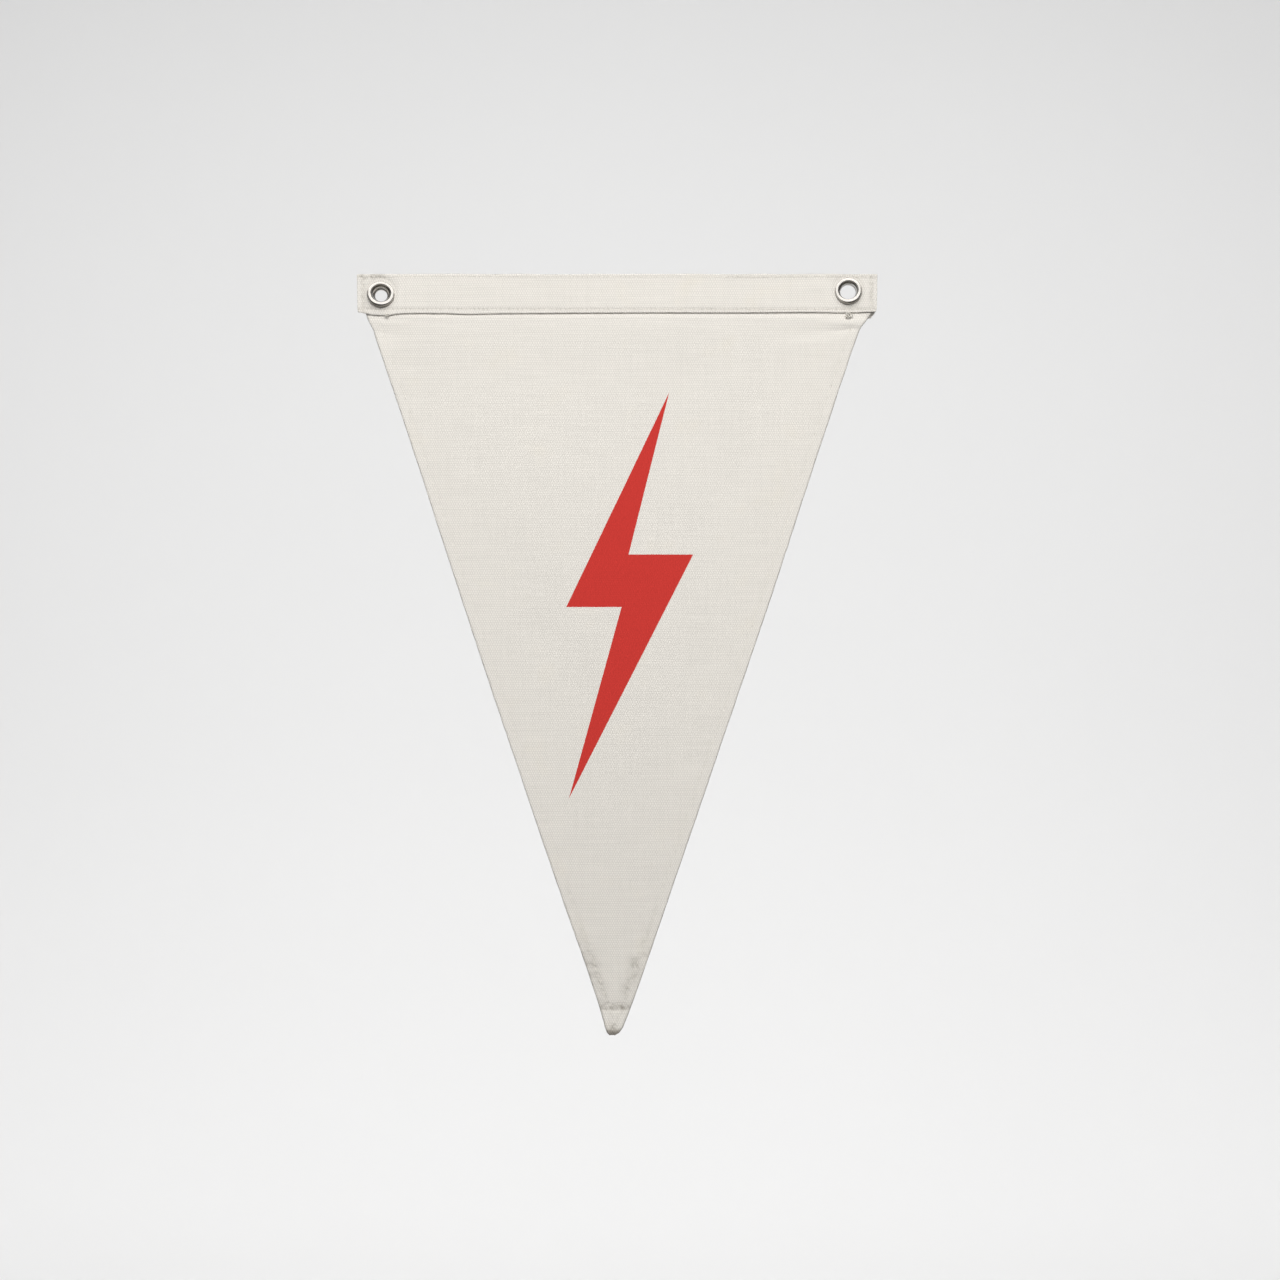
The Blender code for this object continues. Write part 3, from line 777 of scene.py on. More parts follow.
# Grey patches over the tip: x, drop, spread across, spread down, depth
tipMarks = (
    (-14.5, 409.0, 3.2, 7.0, 0.9),
    (-18.5, 402.0, 2.2, 4.0, 0.7),
    (10.8, 405.0, 2.8, 4.5, 0.95),
    (8.2, 414.0, 2.4, 3.5, 0.6),
    (-9.0, 420.0, 2.4, 3.5, 0.7),
    (5.0, 421.0, 2.2, 3.0, 0.6),
    (-1.0, 441.0, 3.2, 1.6, 0.5),
    (-22.0, 394.0, 2.6, 6.0, 0.5),
    (17.0, 396.0, 2.4, 6.0, 0.5),
)


def pennantSoilAndShade(x, drop):
    # Grey-brown marks and painted shade: painted shade along the folded edges, stronger lower down,
    # painted shade with mottled soiling over the tip's crease, painted shade on the tip's rolled end,
    # grey patches over the tip, and darker mottling along the hem seams.
    s = pennantSizes
    mottle = 0.5 + 0.5 * softNoise(x, drop, (1.3, 1.0), 52)
    broad = 0.5 + 0.5 * softNoise(x, drop, (3.4, 3.0), 53)
    left, right = hemDistances(x, drop)
    edgeShadeNoise = 0.55 + 0.45 * softNoise(x, drop, (8.0, 5.0), 54)
    low = smoothStep(330.0, 425.0, drop)
    # Painted shade where the folded edges turn away, uneven and stronger lower down.
    total = (0.46 + 0.46 * low) * edgeShadeNoise * (np.exp(-((left / 0.62) ** 2)) + np.exp(-((right / 0.62) ** 2)))
    # Painted shade, mottled like soiling, in the hollow over the tip's crease.
    total += 0.68 * (0.25 + 0.75 * mottle) * hump(drop, s["crease"] - 2.5, 1.8)
    # Painted shade on the tip's rolled end, which turns down and away from the light.
    total += 1.15 * smoothStep(441.6, 445.4, drop) * (0.8 + 0.2 * mottle)
    for place, middle, wide, tall, depth in tipMarks:
        total += depth * broad * (0.2 + 0.8 * mottle) * hump(x, place, wide) * hump(drop, middle, tall)
    seams = hump(left, s["hemSeam"], 1.1) + hump(right, s["hemSeam"], 1.1)
    return np.clip(total + (0.07 + 0.3 * low) * mottle**2 * seams * smoothStep(24.0, 30.0, drop), 0.0, 1.0)


def pennantRows():
    # The drop of each row, as one column.
    rows = [np.array([pennantSizes["top"]])]
    for end, count in pennantBands:
        rows.append(np.linspace(rows[-1][-1], end, count + 1)[1:])
    return np.concatenate(rows)[:, None]


def mirroredPlace(edge, slope, x, drop, inwards):
    # Where a point of a turned hem lay before it was folded: its mirror image over the edge line.
    length = np.hypot(1.0, slope)
    away = inwards * (x - edge) / length
    return x - inwards * 2.0 * away / length, drop + 2.0 * away * inwards * slope / length


def hemSection(rows, edge, inwards, edgeRadius, foldDepth, hem):
    # One turned hem in from its cut edge, then the fold round the cloth's edge: x, depth behind
    # the front layer, and distance from the cut edge.
    s = pennantSizes
    flap = edgeSteps(s["flapColumns"], 1.0, s["edgeRound"] / 5.0)
    turns = np.linspace(0.5 * math.pi, -0.5 * math.pi, s["edgeColumns"] + 1)[1:-1]
    bend = edgeRadius - 0.5 * s["thickness"]
    hemLength = hem - edgeRadius
    frayed = 0.12 * softNoise(rows, 0.0 * rows + inwards, (3.0, 2.0), 34)
    hemSide = edge + inwards * (edgeRadius + (1.0 - flap) * (hemLength + frayed))
    foldSide = edge + inwards * (edgeRadius - bend * np.cos(turns))
    hemBehind = np.broadcast_to(foldDepth, hemSide.shape)
    foldBehind = 0.5 * foldDepth * (1.0 + np.sin(turns))
    return (
        np.concatenate((hemSide, foldSide), axis=1),
        np.concatenate((hemBehind, foldBehind), axis=1),
        np.concatenate((flap * hemLength, np.full_like(foldSide, insideCloth)), axis=1),
    )


def pennantSection(rows, left, right, foldDepth):
    # Each row of the cloth from one hem's cut edge to the other's: x, depth behind the front
    # layer and distance from a cut edge, and how many columns one hem and its fold take.
    s = pennantSizes
    width = right - left
    edgeRadius = np.minimum(0.5 * (s["thickness"] + foldDepth), 0.3 * width)
    hem = np.minimum(s["hem"], 0.5 * width - 0.3)
    leftHem = hemSection(rows, left, 1.0, edgeRadius, foldDepth, hem)
    rightHem = [part[:, ::-1] for part in hemSection(rows, right, -1.0, edgeRadius, foldDepth, hem)]
    inset = np.linspace(0.0, 1.0, s["hemColumns"])
    zone = np.minimum(9.0, 0.32 * width)
    leftPart = left + edgeRadius + inset * zone
    rightPart = right - edgeRadius - inset[::-1] * zone
    middle = np.linspace(0.0, 1.0, s["mainColumns"] + 2)[1:-1]
    middlePart = leftPart[:, -1:] + middle * (rightPart[:, :1] - leftPart[:, -1:])
    frontX = np.concatenate((leftPart, middlePart, rightPart), axis=1)
    front = (frontX, np.zeros_like(frontX), np.full_like(frontX, insideCloth))
    x, depth, fromCut = [np.concatenate(parts, axis=1) for parts in zip(leftHem, front, rightHem)]
    return x, depth, fromCut, leftHem[0].shape[1]


def makePennant(cloth):
    # Level rows of one ribbon: in from the left hem's cut edge, round the left fold, across the
    # front, round the right fold and in along the right hem, with half the thickness to each side.
    s = pennantSizes
    half = 0.5 * s["thickness"]
    rows = pennantRows()
    edges = []
    for number, edge in enumerate((leftEdge(rows), rightEdge(rows))):
        wander = 0.09 * softNoise(rows, 0.0 * rows, (5.5, 9.0), 31 + number)
        edges.append(edge + wander * smoothStep(26.0, 32.0, rows))
    left, right = edges
    turnedUp = (s["thickness"] + s["layerGap"]) * tipPart(0.0 * rows, rows)
    foldDepth = s["thickness"] + s["layerGap"] + turnedUp
    x, depth, fromCut, side = pennantSection(rows, left, right, foldDepth)
    inward = np.minimum(x - left, right - x)
    trim = s["hemTrim"] * (1.0 - smoothStep(7.2, 15.0, inward))
    drop = rows + trim * (1.0 - smoothStep(s["top"], 34.0, rows))
    centre = np.stack((x, pennantFrontY(x, drop) + half + depth, -drop), axis=2)
    normals = -gridNormals(centre)
    keep = edgeRound(fromCut, s["edgeRound"])
    halfFold = s["edgeColumns"] // 2
    isFront = np.zeros(x.shape)
    isFront[:, side - halfFold : halfFold - side] = 1.0
    along = (drop - s["top"]) / math.cos(s["edgeLean"])
    flapRelief = 0.05 * softNoise(x, drop, (5.0, 4.0), 36)
    for distance in hemDistances(x, drop):
        flapRelief += seamGroove(distance - s["hemSeam"], along, s["hemStitch"], 0.6, 0.10)
    relief = np.where(isFront > 0.0, pennantRelief(x, drop), flapRelief)
    innerHalf = half * keep
    innerHalf[:, side + 1 : -side - 1] += turnedUp
    outer = centre + (half * keep + relief * keep)[:, :, None] * normals
    inner = centre - innerHalf[:, :, None] * normals
    past = np.clip((rows - s["tipRoundStart"]) / (s["tipRoundEnd"] - s["tipRoundStart"]), 0.0, 1.0)
    narrow = np.sqrt(1.0 - past**2)
    middleY = -s["tipStep"] + 0.5 * (s["thickness"] + foldDepth)
    for points in (outer, inner):
        points[:, :, 1] = middleY + (points[:, :, 1] - middleY) * narrow
    flatX = x.copy()
    flatDrop = drop.copy()
    for edge, inwards, columns in ((left, 1.0, slice(0, side)), (right, -1.0, slice(-side, None))):
        slope = np.gradient(edge[:, 0], rows[:, 0])[:, None]
        turned = mirroredPlace(edge, slope, x[:, columns], drop[:, columns], inwards)
        share = np.clip(depth[:, columns] / foldDepth, 0.0, 1.0)
        flatX[:, columns] += share * (turned[0] - x[:, columns])
        flatDrop[:, columns] += share * (turned[1] - drop[:, columns])
    flatOuter = np.stack((flatX, flatDrop, isFront), axis=2)
    pennant = sheetPiece("pennantCloth", outer, inner, flatOuter, pennantSoilAndShade(x, drop))
    pennant.data.materials.append(cloth)
    return pennant


# Sewing

threadSizes = {"radius": 0.17, "lift": 0.07, "sink": 0.22, "wander": 0.05}


def sewnLine(places, surface, outwards):
    # Threads from each needle hole to the next: places are x and drop, surface gives their y.
    holes = np.stack((places[:, 0], surface(places[:, 0], places[:, 1]), -places[:, 1]), axis=1)
    holes = holes + dice.normal(0.0, threadSizes["wander"], holes.shape) * (1.0, 0.0, 1.0)
    facing = np.broadcast_to(np.array((0.0, outwards, 0.0)), holes[1:].shape)
    gap = 0.06 * (holes[1:] - holes[:-1])
    return tubes(
        holes[:-1] + gap, holes[1:] - gap, facing,
        threadSizes["radius"], threadSizes["lift"], threadSizes["sink"],
    )


def joinTubes(name, parts, thread):
    # One piece from several runs of thread.
    points = []
    quads = []
    count = 0
    for partPoints, partQuads in parts:
        points.append(partPoints)
        quads.append(partQuads + count)
        count += len(partPoints)
    piece = quadMesh(name, np.concatenate(points), np.concatenate(quads))
    piece.data.materials.append(thread)
    return piece


def headerFrontSurface(x, drop):
    # The y of the header's front face with its relief, where its threads lie.
    return headerFrontY(x) - eyeletLean(x, drop) - headerRelief(x, drop)


def headerBackSurface(x, drop):
    # The same at its back.
    return headerBackY(x, drop) - eyeletLean(x, drop) + headerBackRelief(x, drop)


def pennantFrontSurface(x, drop):
    # The y of the pennant's front face with its relief.
    return pennantFrontY(x, drop) - pennantRelief(x, drop)


def pennantBackSurface(x, drop):
    # The y of the back of its turned hems.
    s = pennantSizes
    return pennantFrontY(x, drop) + 2.0 * s["thickness"] + s["layerGap"]


def steppedLine(start, end, pitch):
    # Places a stitch apart on a straight line.
    start = np.array(start)
    end = np.array(end)
    count = int(round(np.linalg.norm(end - start) / pitch))
    return start + np.linspace(0.0, 1.0, count + 1)[:, None] * (end - start)


def makeHeaderSewing(thread):
    # A seam along the foot, one along the top edge and one up each end, on both faces.
    s = headerSizes
    parts = []
    corners = ((-s["endSeam"], s["footSeam"]), (s["endSeam"], s["footSeam"]))
    tops = ((-s["endSeam"], s["topSeam"]), (s["endSeam"], s["topSeam"]))
    for surface, outwards in ((headerFrontSurface, -1.0), (headerBackSurface, 1.0)):
        lines = [(corners[0], corners[1]), (tops[0], tops[1]), (tops[0], corners[0]), (tops[1], corners[1])]
        for start, end in lines:
            parts.append(sewnLine(steppedLine(start, end, s["stitch"]), surface, outwards))
    return joinTubes("headerSewing", parts, thread)


def makeHemSewing(thread):
    # One seam down each hem on both faces, and one across the front over the tip's crease.
    s = pennantSizes
    count = int((s["sewnEnd"] - s["sewnStart"]) / math.cos(s["edgeLean"]) / s["hemStitch"])
    firstAlong = math.ceil((s["sewnStart"] - s["top"]) / math.cos(s["edgeLean"]) / s["hemStitch"])
    along = (firstAlong + np.arange(count)) * s["hemStitch"]
    drop = s["top"] + along * math.cos(s["edgeLean"])
    inset = s["hemSeam"] / math.cos(s["edgeLean"])
    parts = []
    for surface, outwards in ((pennantFrontSurface, -1.0), (pennantBackSurface, 1.0)):
        for x in (leftEdge(drop) + inset, rightEdge(drop) - inset):
            parts.append(sewnLine(np.stack((x, drop), axis=1), surface, outwards))
    seam = s["tipSeam"]
    ends = (leftEdge(np.array([seam]))[0] + inset, rightEdge(np.array([seam]))[0] - inset)
    across = steppedLine((ends[0], seam), (ends[1], seam), s["tipStitch"])
    parts.append(sewnLine(across, pennantFrontSurface, -1.0))
    return joinTubes("hemSewing", parts, thread)


# Thread ends knotted on the header's foot: x, drop, size, turn in degrees
knots = ((-134.8, 24.5, 1.5, 10.0), (135.8, 24.6, 2.7, -12.0))


def makeKnots(thread):
    # Each knot is a thread that runs twice round a small ring while it winds three times about it.
    parts = []
    for x, drop, size, turnDegrees in knots:
        turn = math.radians(turnDegrees)
        along = np.linspace(0.0, 2.0 * math.pi, 61)
        ring = size * (0.50 + 0.34 * np.cos(3.0 * along))
        right = ring * np.cos(2.0 * along)
        up = 0.62 * ring * np.sin(2.0 * along)
        forward = 0.32 * size * np.sin(3.0 * along)
        places = np.stack((
            x + right * math.cos(turn) - up * math.sin(turn),
            -2.0 - forward + 0.0 * along,
            -drop + right * math.sin(turn) + up * math.cos(turn),
        ), axis=1)
        facing = np.broadcast_to(np.array((0.0, -1.0, 0.05)), places[1:].shape)
        parts.append(tubes(places[:-1], places[1:], facing, 0.26 * size, 0.0, 0.0, rings=2))
    return joinTubes("threadKnots", parts, thread)


# Eyelets and washers

eyeletSizes = {
    "left": {"stretch": 0.012, "phase": 0.7, "narrowing": 0.20},
    "right": {"stretch": 0.008, "phase": 2.2, "narrowing": 0.0},
    "skirtReach": 3.8,  # how much the flange's skirt is longer below, for each unit of slant
    "sectionPoints": 132,
    "steps": 160,
}

# Section of an eyelet: radius, forward height from the header's front face, and how dark it is painted there,
# by tarnish in its hollows and painted shade in its crevices and on its outer flank
eyeletSection = (
    (7.35, -0.72, 1.0), (7.68, -0.74, 1.0), (7.94, -0.45, 0.9), (8.02, 0.20, 0.7), (7.94, 0.85, 0.6),
    (7.72, 1.34, 0.4), (7.42, 1.70, 0.1), (7.00, 1.90, 0.0), (6.54, 1.96, 0.0), (6.10, 1.87, 0.0),
    (5.80, 1.62, 0.15), (5.60, 1.22, 0.6), (5.40, 0.74, 0.9), (5.16, 0.20, 0.85), (4.92, -0.35, 0.25),
    (4.74, -0.95, 0.2), (4.62, -1.65, 0.8), (4.54, -2.60, 0.6), (4.48, -3.50, 0.35), (4.50, -4.15, 0.3),
    (4.76, -4.62, 0.3), (5.26, -4.84, 0.2), (5.82, -4.76, 0.3), (6.26, -4.42, 0.5), (6.44, -3.98, 1.0),
    (6.20, -3.80, 1.0), (5.90, -3.98, 1.0), (5.55, -4.00, 1.0), (5.26, -3.60, 1.0), (5.12, -2.60, 1.0),
    (5.12, -1.20, 1.0), (5.28, -0.20, 1.0), (5.66, 0.60, 1.0), (6.05, 1.15, 1.0), (6.48, 1.40, 1.0),
    (6.92, 1.32, 1.0), (7.24, 0.90, 1.0), (7.36, 0.10, 1.0),
)


def eyeletSeat(side):
    # The middle of the flange's seat, on the header's front face.
    centre = eyelets[side]
    return (centre[0], float(headerFrontY(np.array(centre[0]))), centre[2])


def makeEyelet(side, metal):
    # A pressed grommet turned from its section, very slightly out of round.
    s = eyeletSizes
    section = closedCurve(eyeletSection, s["sectionPoints"])
    turns = np.linspace(0.0, 2.0 * math.pi, s["steps"], endpoint=False)[:, None]
    flange = smoothStep(5.2, 8.2, section[:, 0])
    throat = s[side]["narrowing"] * smoothStep(0.0, -2.5, section[:, 1]) * smoothStep(5.1, 4.6, section[:, 0])
    bent = s[side]["stretch"] * flange * np.cos(2.0 * turns + s[side]["phase"])
    radii = section[:, 0] * (1.0 - throat) * (1.0 + bent)
    name = "eyelet_" + side + "_finish"
    slant = eyeletSlants[side]
    skirt = smoothStep(0.9, -0.7, section[:, 1]) * smoothStep(6.9, 7.2, section[:, 0])
    heights = section[:, 1] - slant[1] * s["skirtReach"] * skirt * np.sin(turns)
    share = washerFollows + (1.0 - washerFollows) * smoothStep(-3.2, -0.2, section[:, 1])
    piece = turnedPiece(name, radii, heights, eyeletSeat(side), slant, share, s["steps"], section[:, 2])
    piece.data.materials.append(metal)
    return piece


washerSizes = {
    "radius": 6.28,
    "halfWidth": 0.62,
    "halfThickness": 0.30,
    "behind": 0.45,  # its middle lies this far behind the header
    "sectionPoints": 28,
    "steps": 96,
}


def makeWasher(side, metal):
    # A thin ring with rounded edges behind the header.
    s = washerSizes
    around = np.linspace(0.0, 2.0 * math.pi, s["sectionPoints"], endpoint=False)
    width = s["halfWidth"] * np.sign(np.cos(around)) * np.abs(np.cos(around)) ** 0.5
    radii = s["radius"] + width + np.zeros((s["steps"], 1))
    heights = s["halfThickness"] * np.sign(np.sin(around)) * np.abs(np.sin(around)) ** 0.5
    heights = heights - headerSizes["layerGap"] - 2.0 * headerSizes["thickness"] - s["behind"]
    # Tarnish and painted shade, darker towards the hole.
    tarnishAndShade = 0.4 + 0.3 * smoothStep(6.4, 5.8, radii[0])
    name = "washer_" + side + "_finish"
    slant = eyeletSlants[side]
    piece = turnedPiece(name, radii, heights, eyeletSeat(side), slant, washerFollows, s["steps"], tarnishAndShade)
    piece.data.materials.append(metal)
    return piece


# Materials

canvasLook = {
    "colour": (0.80, 0.768, 0.716, 1.0),
    "warm": (0.77, 0.715, 0.60, 1.0),
    "fleck": (0.42, 0.36, 0.27, 1.0),
    # The dark tone of the cloth's marks, used for soiling and for painted shade.
    "soilAndShade": (0.255, 0.226, 0.184, 1.0),
    "print": (0.588, 0.040, 0.032, 1.0),
    "dotSpacing": 1.40,  # between two dots of one row
    "rowSpacing": 1.35,
    "relief": 0.10 * mm,
}

# The bolt's six corners, as x and drop
bolt = {
    "top": (30.5, 69.6),
    "upperNotch": (6.7, 164.6),
    "right": (44.6, 164.6),
    "point": (-28.2, 307.5),
    "lowerNotch": (2.6, 195.4),
    "left": (-29.8, 195.4),
}


def sideOf(x, drop, start, end):
    # How far a place lies to the left of the line from start to end, as seen from the front.
    run = (end[0] - start[0], end[1] - start[1])
    length = math.hypot(*run)
    return (x - start[0]) * (run[1] / length) - (drop - start[1]) * (run[0] / length)


def boltMask(x, drop):
    # Inside both long sides, and inside the upper half's right side or below its step, and
    # inside the lower half's left side or above its step.
    leftSide = sideOf(x, drop, bolt["top"], bolt["left"])
    rightSide = sideOf(x, drop, bolt["point"], bolt["right"])
    upperSide = -1.0 * sideOf(x, drop, bolt["top"], bolt["upperNotch"])
    lowerSide = sideOf(x, drop, bolt["lowerNotch"], bolt["point"])
    upper = upperSide.most(drop - bolt["right"][1])
    lower = lowerSide.most(bolt["left"][1] - drop)
    inside = leftSide.least(rightSide).least(upper).least(lower)
    return inside.smooth(-0.16, 0.16)


def makeCanvas():
    # Plain weave as staggered dots and level rows, in colour and relief, with slubs, flecks, faint
    # warm patches, the cloth's grey marks and painted shade, and the printed bolt on the front alone.
    look = canvasLook
    finish = Finish("canvas", Roughness=0.9, Specular_IOR_Level=0.2, Sheen_Weight=0.05, Sheen_Roughness=0.5)
    place = finish.add("ShaderNodeAttribute", {"attribute_name": "flatPlace"}, output=1)
    u, v, front = finish.split(place)
    level = finish.stretch(place, (1.0, 1.0, 0.0))
    stray = finish.noise(level, 0.16, 2.0) - 0.5
    weftStray = finish.noise(finish.stretch(place, (0.03, 0.9, 0.0)), 1.0, 1.0) - 0.5
    warpStray = finish.noise(finish.stretch(place, (0.9, 0.03, 0.0)), 1.0, 1.0) - 0.5
    wovenU = u + 0.9 * stray
    wovenV = v + 0.6 * stray
    dots = (wovenU * (2.0 * math.pi / look["dotSpacing"])).cosine()
    dots = dots * (wovenV * (math.pi / look["rowSpacing"])).cosine()
    rows = (wovenV * (2.0 * math.pi / look["rowSpacing"])).cosine()
    weave = 0.5 + 0.36 * dots + 0.14 * rows
    slub = 0.6 * weftStray + 0.4 * warpStray
    patch = finish.noise(level, 0.035, 3.0) - 0.5
    grain = finish.noise(level, 2.2, 2.0) - 0.5
    light = 0.81 + 0.30 * weave + 0.16 * slub + 0.05 * patch + 0.09 * grain
    cloth = finish.mix(patch.smooth(0.05, 0.30), look["colour"], look["warm"])
    cloth = finish.mix(0.25, look["colour"], cloth)
    flecks = finish.noise(finish.stretch(place, (0.9, 0.5, 0.0)), 1.1, 1.0).smooth(0.78, 0.84)
    cloth = finish.mix(0.35 * flecks, cloth, look["fleck"])
    # Mixes in the dark marks: soiling, and painted shade in the seams, creases, folded edges and the tip's
    # end.
    soilAndShade = finish.add("ShaderNodeAttribute", {"attribute_name": "soilAndShade"}, output=2)
    cloth = finish.mix(soilAndShade * (0.75 + 1.0 * grain), cloth, look["soilAndShade"])
    cloth = finish.shade(cloth, light)
    ink = finish.shade(look["print"][:3], 0.97 + 0.03 * weave)
    printed = boltMask(u, v) * front.smooth(0.7, 0.9)
    colour = finish.mix(printed, cloth, ink)
    height = weave * (1.0 - 0.45 * printed) + 0.8 * slub + 0.25 * grain
    normal = finish.bump(height, look["relief"])
    return finish.finishWith(Base_Color=colour, Normal=normal)


def makeThread():
    # Sewing thread: a fine twist along it, a shade lighter than the cloth.
    finish = Finish("sewingThread", Roughness=0.7, Sheen_Weight=0.1)
    place = finish.add("ShaderNodeTexCoord", None, None, output=3)
    x, y, z = finish.split(place)
    ply = ((x + z) * (2.0 * math.pi / (0.55 * mm))).cosine()
    fuzz = finish.noise(place, 2400.0, 1.0) - 0.5
    colour = finish.shade((0.83, 0.80, 0.735), 0.96 + 0.05 * ply + 0.06 * fuzz)
    return finish.finishWith(Base_Color=colour, Normal=finish.bump(ply + fuzz, 0.04 * mm))


def makeNickel():
    # Bright nickel plate: darker and duller where it is marked, as tarnish in its hollows and painted shade
    # in its crevices and on the flange's outer flank, with faint hairlines and clouding.
    finish = Finish("nickel", Metallic=1.0)
    place = finish.add("ShaderNodeTexCoord", None, None, output=3)
    tarnishAndShade = finish.add("ShaderNodeAttribute", {"attribute_name": "tarnishAndShade"}, output=2)
    cloud = finish.noise(place, 260.0, 3.0)
    hairs = finish.noise(finish.stretch(place, (1.0, 0.25, 1.0)), 2600.0, 2.0) - 0.5
    # The dark tone is tarnish in the hollows and painted shade in the crevices and on the outer flank.
    tarnishAndShadeMix = (tarnishAndShade * (0.85 + 0.3 * cloud)).smooth(0.1, 0.95)
    colour = finish.mix(tarnishAndShadeMix, (0.74, 0.72, 0.69, 1.0), (0.13, 0.118, 0.100, 1.0))
    rough = 0.14 + 0.10 * cloud + 0.22 * tarnishAndShadeMix
    return finish.finishWith(Base_Color=colour, Roughness=rough, Normal=finish.bump(hairs, 0.004 * mm))


# Studio

studio = {
    "cameraDistance": 1100.0,
    "photoWidth": 750.7,  # how much of the flag's plane the picture takes in
    "aimX": 13.4,
    "aimDrop": 214.7,
    "floorDrop": 1800.0,
    "wallY": 2400.0,
    "coveRadius": 520.0,
    "floorFront": -4200.0,
    "wallTop": 3200.0,
    "halfWidth": 4200.0,
    "paper": (0.818, 0.820, 0.826),
    "sensor": 36.0,
    "lightColour": (1.0, 0.992, 0.976),
    "skyColour": (0.96, 0.98, 1.0, 1.0),
    "skyStrength": 0.13,
}

# Cards that only polished metal sees, over, under and before the flag: half width, y and z of
# two opposite edges, colour, and its own light
cards = {
    "overCard": (2000.0, (-1500.0, 1500.0), (1300.0, 1500.0), (0.95, 0.935, 0.91, 1.0), 0.8),
    "darkCard": (1500.0, (-430.0, -520.0), (250.0, -520.0), (0.02, 0.02, 0.02, 1.0), 0.0),
    "brightCard": (2600.0, (-1900.0, -760.0), (-1500.0, 3000.0), (0.95, 0.935, 0.91, 1.0), 1.0),
}

# Soft lights: place, where each is aimed, its width and height, and its power
softboxes = {
    "keyLight": ((50.0, -1650.0, 900.0), (0.0, 0.0, -40.0), (1800.0, 900.0), 41.0),
    "frontLight": ((0.0, -2300.0, 100.0), (0.0, 0.0, -200.0), (2600.0, 1800.0), 3.5),
    "coveLight": ((0.0, 1100.0, -1400.0), (0.0, 2400.0, -1100.0), (6000.0, 400.0), 20.5),
    "wallLight": ((0.0, 300.0, 600.0), (0.0, 2400.0, 500.0), (5400.0, 400.0), 38.5),
}


def makeBackdrop():
    # A floor that curves up into a wall: a profile along Y and Z, carried along X.
    s = studio
    turns = np.linspace(0.0, 0.5 * math.pi, 25)
    curveY = s["wallY"] - s["coveRadius"] + s["coveRadius"] * np.sin(turns)
    curveZ = s["coveRadius"] - s["coveRadius"] * np.cos(turns) - s["floorDrop"]
    y = np.concatenate(([s["floorFront"]], curveY, [s["wallY"]]))
    z = np.concatenate(([-s["floorDrop"]], curveZ, [s["wallTop"]]))
    x = np.linspace(-s["halfWidth"], s["halfWidth"], 9)[:, None]
    points = np.stack((x + 0.0 * y, y + 0.0 * x, z + 0.0 * x), axis=2)
    index = np.arange(points[..., 0].size).reshape(points.shape[:2])
    backdrop = quadMesh("backdrop", points.reshape(-1, 3), gridQuads(index).reshape(-1, 4))
    finish = Finish("paper", Roughness=0.95)
    place = finish.add("ShaderNodeTexCoord", None, None, output=3)
    mottle = finish.noise(place, 3.0, 3.0) - 0.5
    paper = finish.shade(s["paper"], 1.0 + 0.01 * mottle)
    backdrop.data.materials.append(finish.finishWith(Base_Color=paper))


def addCard(name, half, first, second, colour, glow):
    # A flat card with two level edges, each given as y and z.
    corners = np.array(((-half, *first), (half, *first), (half, *second), (-half, *second)))
    card = quadMesh(name, corners, np.array([[0, 1, 2, 3]]))
    finish = Finish(name, Roughness=1.0, Emission_Strength=glow)
    card.data.materials.append(finish.finishWith(Base_Color=colour, Emission_Color=colour))
    card.visible_camera = False
    card.visible_diffuse = False
    card.visible_shadow = False
    card.visible_transmission = False


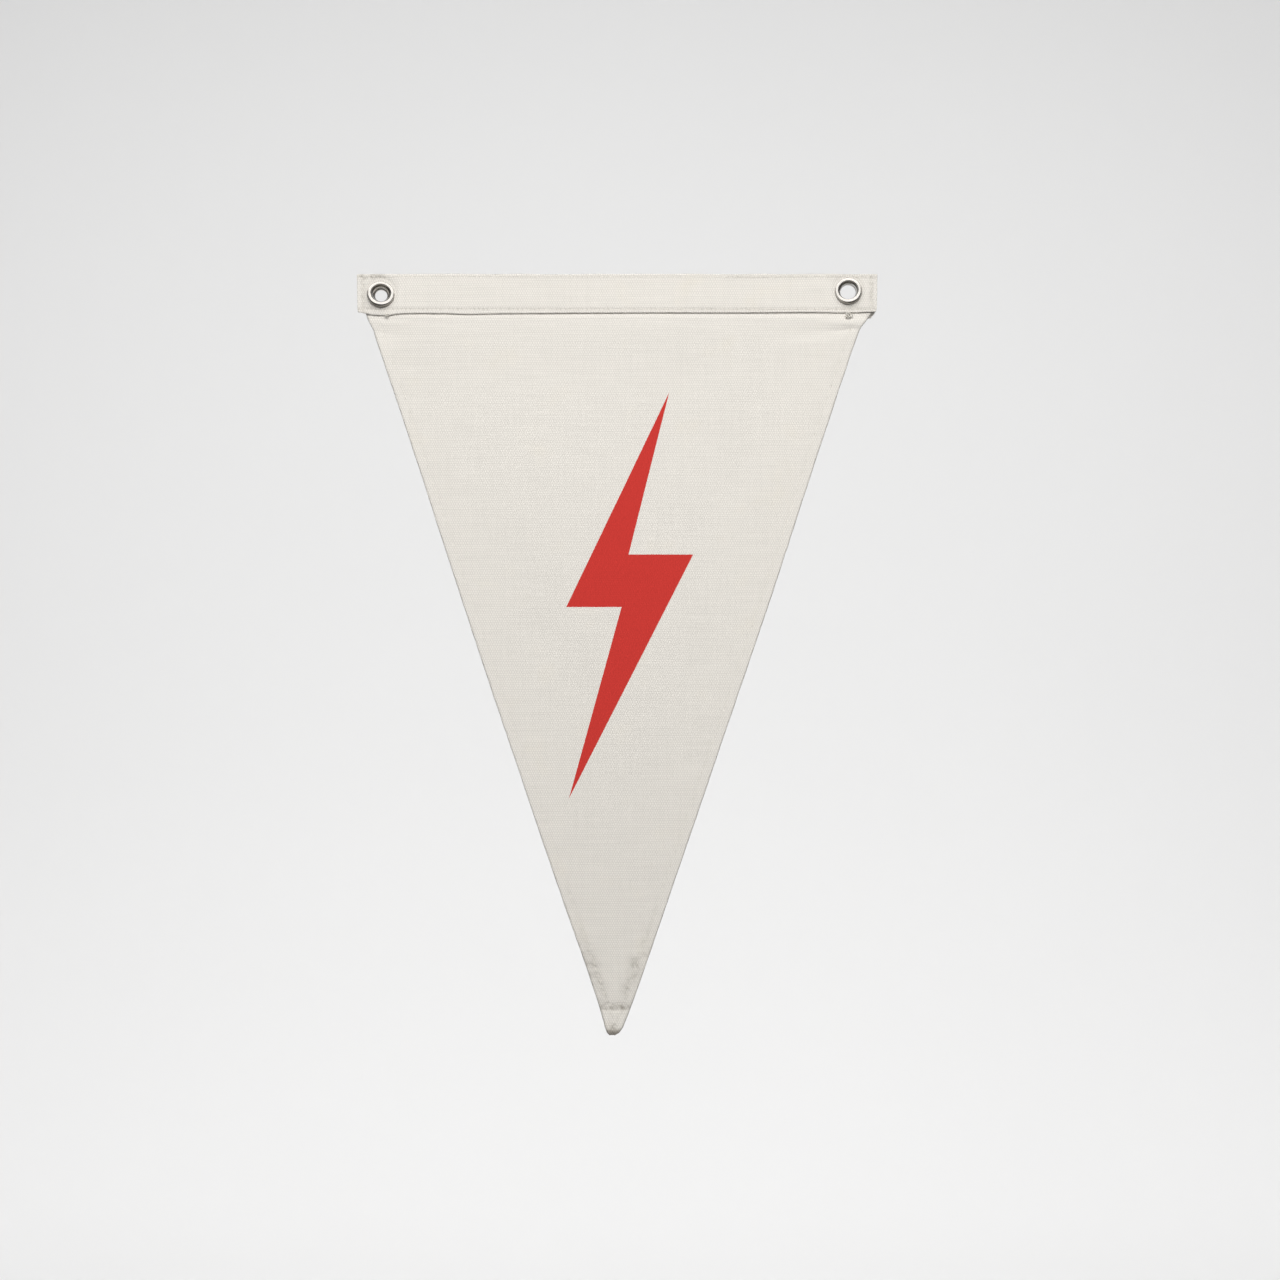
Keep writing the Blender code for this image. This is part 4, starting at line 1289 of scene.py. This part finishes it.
def addSoftbox(name, place, aim, size, power):
    # A rectangular light turned to face its aim, unseen by the camera and in the metal.
    light = bpy.data.lights.new(name, "AREA")
    light.shape = "RECTANGLE"
    light.size = size[0] * mm
    light.size_y = size[1] * mm
    light.energy = power
    light.color = studio["lightColour"]
    lamp = bpy.data.objects.new(name, light)
    here = np.array(place) * mm
    lamp.location = here
    towards = np.array(aim) * mm - here
    flat = math.hypot(towards[0], towards[1])
    lamp.rotation_euler = (math.atan2(flat, -towards[2]), 0.0, math.atan2(-towards[0], towards[1]))
    lamp.visible_camera = False
    lamp.visible_glossy = False
    bpy.context.scene.collection.objects.link(lamp)


def lightStudio():
    # A faint even sky, then the cards and the soft lights.
    world = bpy.data.worlds.new("studio")
    world.use_nodes = True
    sky = world.node_tree.nodes["Background"]
    sky.inputs["Color"].default_value = studio["skyColour"]
    sky.inputs["Strength"].default_value = studio["skyStrength"]
    bpy.context.scene.world = world
    for name, values in cards.items():
        addCard(name, *values)
    for name, values in softboxes.items():
        addSoftbox(name, *values)
    bpy.context.scene.view_settings.view_transform = "Standard"


def placeCamera():
    # Square on to the flag, with the photograph's width at the flag's plane.
    s = studio
    lens = bpy.data.cameras.new("camera")
    lens.sensor_width = s["sensor"]
    lens.lens = s["sensor"] * s["cameraDistance"] / s["photoWidth"]
    camera = bpy.data.objects.new("camera", lens)
    camera.location = (s["aimX"] * mm, -s["cameraDistance"] * mm, -s["aimDrop"] * mm)
    camera.rotation_euler = (0.5 * math.pi, 0.0, 0.0)
    bpy.context.scene.collection.objects.link(camera)
    bpy.context.scene.camera = camera


# The whole flag

def build():
    # The studio, then each piece with what it replaces and its body.
    placeCamera()
    makeBackdrop()
    lightStudio()
    print("studio ready")
    canvas = makeCanvas()
    thread = makeThread()
    nickel = makeNickel()
    header = makeHeader(canvas)
    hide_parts("header_strip")
    print("header made")
    pennant = makePennant(canvas)
    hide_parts("pennant_cloth")
    print("pennant made")
    headerSewing = makeHeaderSewing(thread)
    hemSewing = makeHemSewing(thread)
    threadKnots = makeKnots(thread)
    print("sewing made")
    pieces = [header, pennant, headerSewing, hemSewing, threadKnots]
    for side in ("left", "right"):
        for kind, make in (("eyelet_", makeEyelet), ("washer_", makeWasher)):
            piece = make(side, nickel)
            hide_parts(kind + side)
            pieces.append(piece)
    print("eyelets made")
    for piece in pieces:
        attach(piece, "root")


build()
